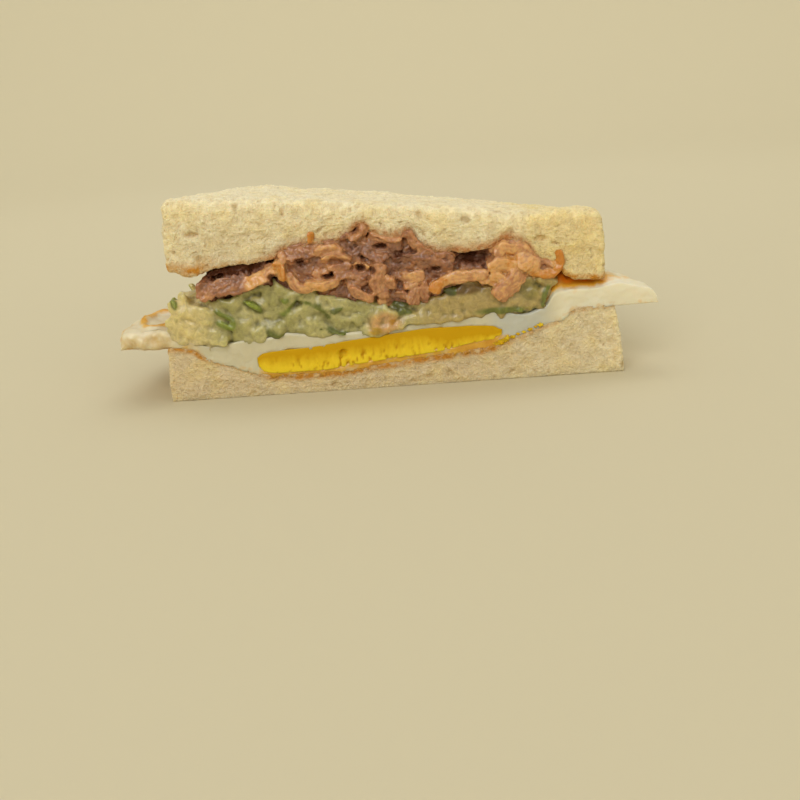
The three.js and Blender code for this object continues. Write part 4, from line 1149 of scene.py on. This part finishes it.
def salad_material(settings):
    """Cucumber flesh, wet and half clear, with shiny skin: light runs a few mm into it."""
    made, tree, shader, here, (tone, skin, crease) = food_material(
        "Dressed cucumber", ("tone", "skin", "crease"), Roughness=0.28, IOR=1.35, Coat_Weight=0.5,
        Coat_Roughness=0.1, Subsurface_Weight=0.7, Subsurface_Scale=0.004,
        Subsurface_Radius=(0.9, 1.0, 0.5),
    )
    # Soft changes over 6 mm, half clear wisps of 1.5 mm, seeds and cells of 0.9 mm
    drift = add(tree, "ShaderNodeTexNoise", {"Vector": here, "Scale": 170, "Detail": 2})
    wisps = add(tree, "ShaderNodeTexNoise", {
        "Vector": here, "Scale": 650, "Detail": 4, "Roughness": 0.65, "Distortion": 1.2})
    cells = add(tree, "ShaderNodeTexNoise", {"Vector": here, "Scale": 1100, "Detail": 3})
    greener = add(tree, "ShaderNodeMath", [drift, 1.6, -0.8], operation="MULTIPLY_ADD")
    greener = add(tree, "ShaderNodeMath", [greener, tone], operation="ADD", use_clamp=True)
    # Meat juice ran down at the right, and most of the dressing gathers at the left end of the heap
    x = add(tree, "ShaderNodeSeparateXYZ", [here]).outputs["X"]
    sauced, creamy = [
        add(tree, "ShaderNodeMapRange", [x, *limits], interpolation_type="SMOOTHSTEP")
        for limits in ((-0.002, 0.012, 0, 0.7), (-0.036, -0.045, 0.12, 0.85))]
    layers = [(greener, settings.flesh_green), (sauced, settings.sauced), (creamy, settings.dressing)]
    layers += [(spot(tree, here, centre, reach), srgb(shade)) for centre, reach, shade in MUSH_AND_SHADE_SPOTS]
    bright, is_skin, sunk, tint = [
        add(tree, "ShaderNodeMapRange", limits) for limits in (
            [tone, 0, 0.8], [skin, 0.1, 0.6, 0, 0.92], [crease, 0.04, 0.3, 0, 0.9],
            [wisps, 0.36, 0.64, 0.84, 1.18])]
    green = add(tree, "ShaderNodeMix", [bright, settings.deep_skin, settings.skin], data_type="RGBA")
    # Creases are painted darker, a painted shade, and show less where the dressing fills them
    bare = add(tree, "ShaderNodeMath", [creamy, -0.9, 1.1], operation="MULTIPLY_ADD")
    sunk = add(tree, "ShaderNodeMath", [sunk, bare], operation="MULTIPLY")
    flesh = settings.flesh
    for share, shade in (*layers, (is_skin, green), (sunk, settings.crease)):
        flesh = add(tree, "ShaderNodeMix", [share, flesh, shade], data_type="RGBA")
    flesh = add(tree, "ShaderNodeVectorMath", [flesh, tint], operation="SCALE")
    grain = add(tree, "ShaderNodeMath", [wisps, cells], operation="ADD")
    surfaced(tree, shader, flesh, grain, 0.3, 0.0005)
    return made


def shred_tree():
    """Scatters shreds over the heap, bends each in its own way and cuts them all at the knife's plane."""
    tree, given = shape_tree(
        "Cucumber shreds", Shred=bpy.types.Object, Spacing=2.3, Length=8, Width=2.6, Bend=5,
        Material=None)
    spacing, bend = [
        add(tree, "ShaderNodeMath", [given.outputs[label], MM], operation="MULTIPLY")
        for label in ("Spacing", "Bend")]
    facing = add(tree, "ShaderNodeSeparateXYZ", [add(tree, "GeometryNodeInputNormal")])
    not_under = add(tree, "FunctionNodeCompare", [facing.outputs["Z"], -0.5], operation="GREATER_THAN")
    spots = add(tree, "GeometryNodeDistributePointsOnFaces", {
        "Mesh": given.outputs["Mesh"], "Selection": not_under, "Distance Min": spacing,
        "Density Max": 9e5, "Seed": 5,
    }, distribute_method="POISSON")
    shred = add(tree, "GeometryNodeObjectInfo", {"Object": given.outputs["Shred"]})
    # One shred in four stands out of the heap, and one in eight comes from the outside of a cucumber
    upright, peel = [
        add(tree, "FunctionNodeRandomValue", {"Probability": share, "Seed": seed}, data_type="BOOLEAN")
        for share, seed in ((0.25, 2), (0.13, 8))]
    long_by, wide_by, tone, reach = [
        add(tree, "FunctionNodeRandomValue", {"Min": low, "Max": high, "Seed": seed}, data_type="FLOAT")
        for low, high, seed in ((0.55, 1.3, 3), (0.7, 1.25, 4), (-0.4, 0.9, 6), (-0.5, 0.7, 7))]
    turn = add(tree, "FunctionNodeRandomValue", {
        "Min": (-0.35, -0.5, -0.8), "Max": (0.35, 0.5, 0.8), "Seed": 1}, data_type="FLOAT_VECTOR")
    stand = add(tree, "ShaderNodeMath", [upright, 1.2], operation="MULTIPLY")
    lift = add(tree, "ShaderNodeCombineXYZ", {"Y": stand})
    angles = add(tree, "ShaderNodeVectorMath", [turn, lift], operation="ADD")
    spin = add(tree, "FunctionNodeEulerToRotation", [angles])
    spins = [spots.outputs["Rotation"], spin]
    rotation = add(tree, "FunctionNodeRotateRotation", spins, rotation_space="LOCAL")
    length, width = [
        add(tree, "ShaderNodeMath", [given.outputs[label], by], operation="MULTIPLY")
        for label, by in (("Length", long_by), ("Width", wide_by))]
    scale = add(tree, "ShaderNodeCombineXYZ", [length, width, width])
    whole = add(tree, "GeometryNodeInstanceOnPoints", {
        "Points": spots, "Instance": shred.outputs["Geometry"], "Rotation": rotation, "Scale": scale})
    for name, value in (("tone", tone), ("reach", reach), ("peel", peel)):
        whole = add(tree, "GeometryNodeStoreNamedAttribute", {
            "Geometry": whole, "Name": name, "Value": value}, data_type="FLOAT", domain="INSTANCE")
    both = add(tree, "GeometryNodeJoinGeometry")
    for part in (whole.outputs[0], given.outputs["Mesh"]):
        tree.links.new(part, both.inputs[0])
    whole = add(tree, "GeometryNodeRealizeInstances", {"Geometry": both})
    skin, peel, reach = [
        add(tree, "GeometryNodeInputNamedAttribute", {"Name": name}, data_type="FLOAT")
        for name in ("skin", "peel", "reach")]
    skin = add(tree, "ShaderNodeMath", [skin, peel], operation="MULTIPLY")
    whole = add(tree, "GeometryNodeStoreNamedAttribute", {
        "Geometry": whole, "Name": "skin", "Value": skin}, data_type="FLOAT", domain="POINT")
    sway = add(tree, "ShaderNodeTexNoise", {"Vector": millimetres(tree), "Scale": 0.17, "Detail": 1})
    centred = [sway.outputs["Color"], (0.5, 0.5, 0.5)]
    centred = add(tree, "ShaderNodeVectorMath", centred, operation="SUBTRACT")
    bent = add(tree, "ShaderNodeVectorMath", [centred, bend], operation="SCALE")
    moved = add(tree, "GeometryNodeSetPosition", {"Geometry": whole, "Offset": bent})
    # The knife trims each shred at its own small reach past the cut, with an edge 0.5 mm soft
    place = add(tree, "ShaderNodeSeparateXYZ", [add(tree, "GeometryNodeInputPosition")])
    grain = add(tree, "ShaderNodeTexNoise", {"Vector": millimetres(tree), "Scale": 0.9, "Detail": 2})
    rough = add(tree, "ShaderNodeMath", [grain, 1.3, reach], operation="MULTIPLY_ADD")
    knife = add(tree, "ShaderNodeMath", [rough, -MM, (CUT_Y + 0.5) * MM], operation="MULTIPLY_ADD")
    front = add(tree, "ShaderNodeMath", [place.outputs["Y"], knife, 0.5 * MM], operation="SMOOTH_MAX")
    cut = add(tree, "ShaderNodeCombineXYZ", [place.outputs["X"], front, place.outputs["Z"]])
    trimmed = add(tree, "GeometryNodeSetPosition", {"Geometry": moved, "Position": cut})
    return finished(tree, given, trimmed)


def wet_tree():
    """Swollen, slightly uneven flesh; the shreds that touch run together in the dressing."""
    tree, given = shape_tree("Wet flesh", Pieces=bpy.types.Object, Relief=0.2, Material=None)
    skin = carried(tree, given, {"tone": 9, "skin": 2}, "tone", "skin")
    # The dressing rounds off every edge
    rough = add(tree, "GeometryNodeInputPosition")
    rounded = add(tree, "GeometryNodeBlurAttribute", [rough, 2], data_type="FLOAT_VECTOR")
    skin = add(tree, "GeometryNodeSetPosition", {"Geometry": skin, "Position": rounded})
    height = ripple(tree, millimetres(tree), 0.5, (0.3, 0.7), (-MM, MM), Detail=1)
    move = add(tree, "ShaderNodeMath", [height, given.outputs["Relief"]], operation="MULTIPLY")
    return finished(tree, given, creased(tree, moved_out(tree, skin, move), 8))


def shred_mesh():
    """One bar of cucumber, 1 mm long and wide before it is scaled, with skin along one side."""
    uvw, faces = lattice(6, 2, 2)
    u, v, w = uvw.T
    taper = (1 - np.abs(u) ** 6) ** 0.5 * 0.5 + 0.5
    round_off = 1 / np.sqrt(1 + 0.55 * np.minimum(np.abs(v), np.abs(w)) ** 2)
    points = np.stack([u * 0.5, v * 0.5 * taper * round_off, w * 0.36 * taper * round_off], -1)
    skin = np.where(v < -0.9, 1, 0)
    return mesh_object("shred", points, faces, skin=skin)


def flatten(heap):
    """Presses what stands more than 1 mm above the heap's top down to a tenth of its height there."""
    points = np.empty(len(heap.data.vertices) * 3)
    heap.data.vertices.foreach_get("co", points)
    x, y, z = points.reshape(-1, 3).T / MM
    above = np.maximum(z - salad_top(x, y) - 1, 0)
    heap.data.vertices.foreach_set("co", (np.stack([x, y, z - 0.9 * above], -1) * MM).ravel())
    heap.data.update()


class SANDWICH_OT_salad(bpy.types.Operator):
    """Adds the cucumber salad: its core of dressing, its shreds and its strips of skin"""
    bl_idname = "sandwich.salad"
    bl_label = "Cucumber salad"

    def execute(self, context):
        settings = context.scene.sandwich_salad
        finish = salad_material(settings)
        random = np.random.default_rng(SALAD_SEED)
        # The core lies inside the heap, and comes forward to the cut at its left end
        low, high = SALAD_BOX
        core = heap_core(
            "salad_heap", low[0] + 1.6, high[0] - 1.6,
            lambda x: CUT_Y + 1.1 - 1.2 * smooth((-37 - x) / 5), high[1] - 1.5,
            lambda x, y: egg_top(x, y) - 0.5, lambda x, y: salad_top(x, y) - 0.9, SALAD_CORE_CELLS,
            tone=0.2, skin=0,
        )
        bars = shred_mesh()
        sizes = in_mm(settings, "spacing", "length", "width")
        shreds = shaped(core, shred_tree(), Shred=bars, Material=finish, **sizes)
        bpy.data.objects.remove(bars)
        parts = []
        for number, (route, thick, out, tone) in enumerate(SALAD_SKINS + SALAD_SHREDS):
            # Strips of skin are pointed, long shreds are blunt and reach deeper
            is_skin = number < len(SALAD_SKINS)
            thick, deep = (thick * 1.15, 3) if is_skin else (thick, 5)
            points, faces, stored = folded_slice(route, thick, deep, tone, random, 0.3, 8, 0.8 * is_skin)
            stored["skin"] = np.full(len(points), float(is_skin))
            parts.append((points + (0, CUT_Y - out, 0), faces, stored))
        flatten(shreds)
        salad = joined(shreds, gathered("salad_strips", parts))
        sizes = in_mm(settings, "fusing", "relief")
        skinned(salad, wet_tree(), sizes["Fusing"], Relief=sizes["Relief"], Material=finish)
        piece(salad, "cucumber", "cucumber_salad")
        return {"FINISHED"}


def beef_material(settings):
    """Thin beef braised in sauce: fibrous lean and tan fat under a wet glaze that shines in spots."""
    made, tree, shader, here, (varied, fibre, crease) = food_material(
        "Braised sliced beef", ("tone", "fibre", "crease"), Roughness=0.4, IOR=1.4,
        Coat_Roughness=0.14, Subsurface_Weight=0.3, Subsurface_Scale=0.002,
        Subsurface_Radius=(1.0, 0.4, 0.25),
    )
    # Marbling of 4 mm, sauce specks of 0.8 mm
    marble = add(tree, "ShaderNodeTexNoise", {
        "Vector": here, "Scale": 280, "Detail": 4, "Roughness": 0.6})
    specks = add(tree, "ShaderNodeTexNoise", {"Vector": here, "Scale": 1300, "Detail": 2})
    for cause, share, less in ((marble, 0.7, -0.35), (fibre, 0.1, 0), (specks, 0.16, -0.08)):
        change = add(tree, "ShaderNodeMath", [cause, share, less], operation="MULTIPLY_ADD")
        varied = add(tree, "ShaderNodeMath", [varied, change], operation="ADD")
    # Creases are painted darker: painted shade
    sunk = add(tree, "ShaderNodeMapRange", [crease, 0.05, 0.5, 0, 0.26])
    varied = add(tree, "ShaderNodeMath", [varied, sunk], operation="SUBTRACT")
    ramp = add(tree, "ShaderNodeValToRGB", [varied])
    # The darkest stop is painted shade
    shades = [
        (0.05, settings.painted_hollow_shade), (0.3, settings.lean), (0.5, settings.seared), (0.68, settings.tender),
        (0.82, settings.fat), (1.0, settings.glazed),
    ]
    stops = ramp.color_ramp.elements
    while len(stops) < len(shades):
        stops.new(0.5)
    for stop, (at, shade) in zip(stops, shades):
        stop.position = at
        stop.color = (*shade, 1)
    # Hollows are too deep to shine
    shine = add(tree, "ShaderNodeMapRange", [varied, 0.08, 0.35, 0.05, 0.55])
    for label in ("Coat Weight", "Specular IOR Level"):
        fill(tree, shader.inputs[label], shine)
    surfaced(tree, shader, ramp, specks, 0.35, 0.0004)
    return made


def fibre_tree():
    """Gives slices of meat their swells and the fine fibres that run along them."""
    tree, given = shape_tree(
        "Meat fibres", Pieces=bpy.types.Object, Grain=0.55, Relief=0.22, Lump=0.5, Crumple=0.2,
        Material=None)
    names = ("along", "across", "deep", "tone")
    skin = carried(tree, given, {"tone": 16}, *names)
    along, across, deep, tone = [
        add(tree, "GeometryNodeInputNamedAttribute", {"Name": name}, data_type="FLOAT") for name in names]
    density = add(tree, "ShaderNodeMath", [1, given.outputs["Grain"]], operation="DIVIDE")
    drawn_out = add(tree, "ShaderNodeMath", [along, 0.28], operation="MULTIPLY")
    grain_space = add(tree, "ShaderNodeCombineXYZ", [drawn_out, across, deep])
    here = millimetres(tree)
    grain_space = swayed(tree, here, 0.5, 1, 1.5, grain_space)
    fibre = ripple(tree, grain_space, density, (0.32, 0.68), (-1, 1), Detail=2)
    lump = ripple(tree, here, 0.3, (0.3, 0.7), (-1, 1), Detail=2)
    crumple = ripple(tree, here, 0.8, (0.3, 0.7), (-1, 1), Detail=3, Roughness=0.6)
    # Tan fat is smoother than lean meat
    calm = add(tree, "ShaderNodeMapRange", [tone, 0.45, 0.8, 1, 0.4])
    height = add(tree, "ShaderNodeMath", [fibre, given.outputs["Relief"]], operation="MULTIPLY")
    height, crumple = [
        add(tree, "ShaderNodeMath", [part, calm], operation="MULTIPLY") for part in (height, crumple)]
    for part, label in ((lump, "Lump"), (crumple, "Crumple")):
        terms = [part, given.outputs[label], height]
        height = add(tree, "ShaderNodeMath", terms, operation="MULTIPLY_ADD")
    move = add(tree, "ShaderNodeMath", [height, MM], operation="MULTIPLY")
    return finished(tree, given, creased(tree, moved_out(tree, skin, move, fibre=fibre), 10))


def pressed(points):
    """Keeps slices of beef between the salad and the upper slice of toast."""
    x, y, z = points.T
    # They may sink 0.5 mm into the toast, and 1.2 mm into the salad behind the cut
    above = np.maximum(z - (upper_under(x, y) + 0.5), 0)
    below = np.maximum(salad_top(x, y) - 1.2 - z, 0)
    inside = smooth((y - CUT_Y - 1) / 3)
    return np.stack([x, y, z - above * 0.9 + below * 0.9 * inside], -1)


def opened(points, tone, hollows):
    """Pushes the cut surface back into small hollows between the slices, and paints them dark: painted
    shade.
    """
    x, y, z = points.T
    for px, pz, across, up, depth in hollows:
        inside = smooth(1.5 - np.hypot((x - px) / across, (z - pz) / up))
        inside = inside * smooth((CUT_Y + depth + 2 - y) / 2)
        y = y + depth * inside
        tone = tone * (1 - inside) + 0.02 * inside
    return np.stack([x, y, z], -1), tone


def filler_slices(random):
    """Slices just behind those that were placed one by one, to close the gaps between them.

    There is one for every 3.6 mm across and 2.6 mm up, and those at the left get the darkest tone, as
    painted shade under the bread.
    """
    slices = []
    for x in np.arange(-37, 35, 3.6):
        low, high = salad_top(x, CUT_Y) + 1.2, upper_under(x, CUT_Y) - 1.2
        for z in np.arange(low, high, 2.6):
            lean = random.uniform(-0.6, 0.6)
            half = random.uniform(3, 5)
            mid_x = x + random.uniform(-1, 1)
            mid_z = min(z + random.uniform(-0.6, 0.6), high)
            dx, dz = half * math.cos(lean), min(half * math.sin(lean), 1.6)
            bow = random.uniform(-1.2, 1.2)
            route = [(mid_x - dx, mid_z - dz), (mid_x, mid_z + bow), (mid_x + dx, mid_z + dz)]
            # At the left the slices take the darkest tone: painted shade
            tone = random.choice([0.22, 0.3, 0.34, 0.42, 0.55]) if x > -24 else 0.05
            slices.append((route, random.uniform(2, 3.2), random.uniform(-1.1, 0), tone))
    return slices


def slices_behind(random):
    """Folded slices that show between the toast: three in five at the back, the others at both ends."""
    left, right, back = BEEF_BOX[0][0] + 3, BEEF_BOX[1][0] - 3, BEEF_BOX[1][1] - 2
    spots = []
    for k in range(BEEF_SLICES_BEHIND):
        share = (k + 0.5) / BEEF_SLICES_BEHIND
        if share < 0.6:
            x = left + 7 + (right - left - 12) * share / 0.6
            spots.append((x, back - ((x + 2) / 38) ** 4 * 5 + random.uniform(-1, 1), math.pi))
        else:
            along = (share - 0.6) / 0.4 * 2 % 1
            y = CUT_Y + 6 + (back - CUT_Y - 12) * along
            side = -1 if share < 0.8 else 1
            spots.append(((left if side < 0 else right) + side, y, side * math.pi / 2))
    parts = []
    for x, y, angle in spots:
        under, over = [surface(np.float64(x), np.float64(y)) for surface in (salad_top, upper_under)]
        width = random.uniform(7, 13)
        fold = max(over - under - 2.2, 0.8) * 0.5
        middle = under + (over - under) * random.uniform(0.3, 0.7)
        route = [
            ((share - 0.5) * width, fold * random.uniform(0.3, 1) * (-1) ** turn)
            for turn, share in enumerate((0, 0.35, 0.65, 1))]
        tone = random.choice([0.3, 0.35, 0.5, 0.62, 0.72, 0.85])
        points, faces, stored = folded_slice(route, random.uniform(1.8, 3), 7, tone, random, 0.4, 12)
        points = turned(points, angle + random.uniform(-0.3, 0.3), (x, y, middle))
        parts.append((pressed(points), faces, stored))
    return parts


class SANDWICH_OT_beef(bpy.types.Operator):
    """Adds the beef: its core in sauce, the slices at the cut and those at the sides and back"""
    bl_idname = "sandwich.beef"
    bl_label = "Sliced beef"

    def execute(self, context):
        settings = context.scene.sandwich_beef
        finish = beef_material(settings)
        tree = fibre_tree()
        random = np.random.default_rng(BEEF_SEED)
        # The core lies behind the cut and under the toast, so that the slices stand out of it;
        # its dark tone is painted shade in the gaps between them
        low, high = BEEF_BOX
        core = heap_core(
            "beef_core", low[0] + 3, high[0] - 4, lambda x: CUT_Y + 2.2, high[1] - 3,
            lambda x, y: salad_top(x, y) - 1, lambda x, y: upper_under(x, y) - 1.2, BEEF_CORE_CELLS,
            tone=0.12, along=0, across=0, deep=0,
        )
        behind = slices_behind(random)
        at_cut = []
        for route, thick, out, tone in BEEF_AT_CUT + filler_slices(random):
            depth = random.uniform(5, 8)
            # Two glazed pieces stand up in front of the bread, so they are short and aren't pressed
            glazed = tone == 1
            points, faces, stored = folded_slice(route, thick, 2.5 if glazed else depth, tone, random)
            points = points + (0, CUT_Y - out, 0)
            points = points if glazed else pressed(points)
            points, stored["tone"] = opened(points, stored["tone"], BEEF_HOLLOWS)
            at_cut.append((points, faces, stored))
        for route, thick, out, tone in BEEF_STRANDS:
            points, faces, stored = folded_slice(route, thick, 1.8, tone, random)
            at_cut.append((points + (0, CUT_Y - out, 0), faces, stored))
        sizes = in_mm(settings, "grain", "relief", "lump", "crumple", "skin")
        finest = sizes.pop("Skin")
        for obj, voxel in (
            (core, CORE_VOXEL), (gathered("beef_at_cut", at_cut), finest),
            (gathered("beef_behind", behind), BEHIND_VOXEL),
        ):
            skinned(obj, tree, voxel, Material=finish, **sizes)
            piece(obj, "beef", "beef")
        return {"FINISHED"}


# The studio in millimetres: a floor for the sandwich, and a wall on all sides of the camera and lights
SWEEP_FLOOR = 675
SWEEP_WALL = 1650
SWEEP_TOP = 1350
SWEEP_TURNS = 96
SWEEP_STEPS = 12
# Name, place and aim in metres, width in metres and power in watts
LIGHTS = [
    ("Key", (-0.53, -1.23, 0.93), (0, 0, 0.02), 1.05, 13.5),
    ("Fill", (0.9, -1.05, 0.53), (0, 0, 0.02), 0.9, 3.2),
    ("Top", (0.15, 0.3, 1.43), (0, 0, 0.02), 1.2, 3.0),
    ("Wall", (0, 0.45, 1.28), (0, 1.65, 0.38), 1.2, 6.8),
]
# The camera in millimetres and degrees: it looks down by the pitch
CAMERA_PLACE = (5.62, -211.5, 63.06)
CAMERA_PITCH = 19.65
CAMERA_ROLL = 4.16
SENSOR_WIDTH = 36


def sweep_mesh():
    """A round sweep, flat in the middle and curving up all round."""
    bend = SWEEP_WALL - SWEEP_FLOOR
    # Distance from the middle and height of each ring, from a tiny one in the middle outwards
    outline = [(0.001, 0), (SWEEP_FLOOR, 0)]
    for step in range(1, SWEEP_STEPS + 1):
        angle = math.pi / 2 * step / SWEEP_STEPS
        outline.append((SWEEP_FLOOR + bend * math.sin(angle), bend * (1 - math.cos(angle))))
    outline.append((SWEEP_WALL, SWEEP_TOP))
    turns = range(SWEEP_TURNS)
    points = [
        (r * math.cos(2 * math.pi * t / SWEEP_TURNS), r * math.sin(2 * math.pi * t / SWEEP_TURNS), z)
        for r, z in outline for t in turns
    ]
    corners = ((1, 0), (1, 1), (0, 1), (0, 0))
    quads = [
        [(ring + out) * SWEEP_TURNS + (t + on) % SWEEP_TURNS for out, on in corners]
        for ring in range(len(outline) - 1) for t in turns
    ]
    return mesh_object("backdrop", points, np.array(quads))


class SANDWICH_OT_stage(bpy.types.Operator):
    """Adds the backdrop, the soft lights and the camera"""
    bl_idname = "sandwich.stage"
    bl_label = "Studio"

    def execute(self, context):
        settings = context.scene.sandwich_studio
        scene = context.scene
        scene.view_settings.view_transform = "Standard"
        made, _, shader = material("Matt paper backdrop", Roughness=0.95, Specular_IOR_Level=0.1)
        shader.inputs["Base Color"].default_value = (*settings.backdrop, 1)
        sweep = sweep_mesh()
        sweep.data.materials.append(made)
        sweep.data.shade_smooth()
        world = scene.world or bpy.data.worlds.new("Studio air")
        scene.world = world
        world.use_nodes = True
        air = next(n for n in world.node_tree.nodes if n.type == "BACKGROUND")
        air.inputs["Color"].default_value = (1, 0.97, 0.92, 1)
        air.inputs["Strength"].default_value = 0.5
        for name, place, aim, width, power in LIGHTS:
            data = bpy.data.lights.new(name, "AREA")
            data.size = width
            data.energy = power
            lamp = bpy.data.objects.new(name, data)
            lamp.location = place
            lamp.rotation_euler = (Vector(aim) - Vector(place)).to_track_quat("-Z", "Y").to_euler()
            scene.collection.objects.link(lamp)
        self.add_camera(scene, settings)
        return {"FINISHED"}

    def add_camera(self, scene, settings):
        """The photograph's view, looking down and rolled, because there the sandwich lay tilted."""
        pitch, roll = math.radians(CAMERA_PITCH), math.radians(CAMERA_ROLL)
        right = Vector((math.cos(roll), 0, -math.sin(roll)))
        upright = Vector((math.sin(roll), 0, math.cos(roll)))
        up = upright * math.cos(pitch) + Vector((0, math.sin(pitch), 0))
        data = bpy.data.cameras.new("Camera")
        data.sensor_width = SENSOR_WIDTH
        data.lens = settings.lens
        data.clip_start = 0.01
        camera = bpy.data.objects.new("Camera", data)
        place = Matrix((right, up, right.cross(up))).transposed().to_4x4()
        place.translation = Vector(CAMERA_PLACE) * MM
        camera.matrix_world = place
        scene.collection.objects.link(camera)
        scene.camera = camera


class SANDWICH_PT_layers(bpy.types.Panel):
    """Buttons for each layer of the sandwich"""
    bl_label = "Sandwich"
    bl_space_type = "VIEW_3D"
    bl_region_type = "UI"
    bl_category = "Sandwich"

    def draw(self, context):
        for maker in MAKERS:
            self.layout.operator(maker.bl_idname)


SETTINGS = {
    "sandwich_toast": ToastSettings,
    "sandwich_egg": EggSettings,
    "sandwich_salad": SaladSettings,
    "sandwich_beef": BeefSettings,
    "sandwich_studio": StudioSettings,
}
MAKERS = [SANDWICH_OT_stage, SANDWICH_OT_bread, SANDWICH_OT_egg, SANDWICH_OT_salad, SANDWICH_OT_beef]


def register():
    """Makes the settings, the operators and the panel known to Blender."""
    for group in SETTINGS.values():
        bpy.utils.register_class(group)
    for maker in MAKERS:
        bpy.utils.register_class(maker)
    bpy.utils.register_class(SANDWICH_PT_layers)
    for name, group in SETTINGS.items():
        setattr(bpy.types.Scene, name, bpy.props.PointerProperty(type=group))


def unregister():
    """Takes away again all that register added."""
    for name in SETTINGS:
        delattr(bpy.types.Scene, name)
    for made in [SANDWICH_PT_layers, *reversed(MAKERS), *reversed(SETTINGS.values())]:
        bpy.utils.unregister_class(made)


def main():
    """Builds the sandwich and its studio."""
    register()
    for maker in MAKERS:
        group, name = maker.bl_idname.split(".")
        getattr(getattr(bpy.ops, group), name)()


if __name__ == "__main__":
    main()
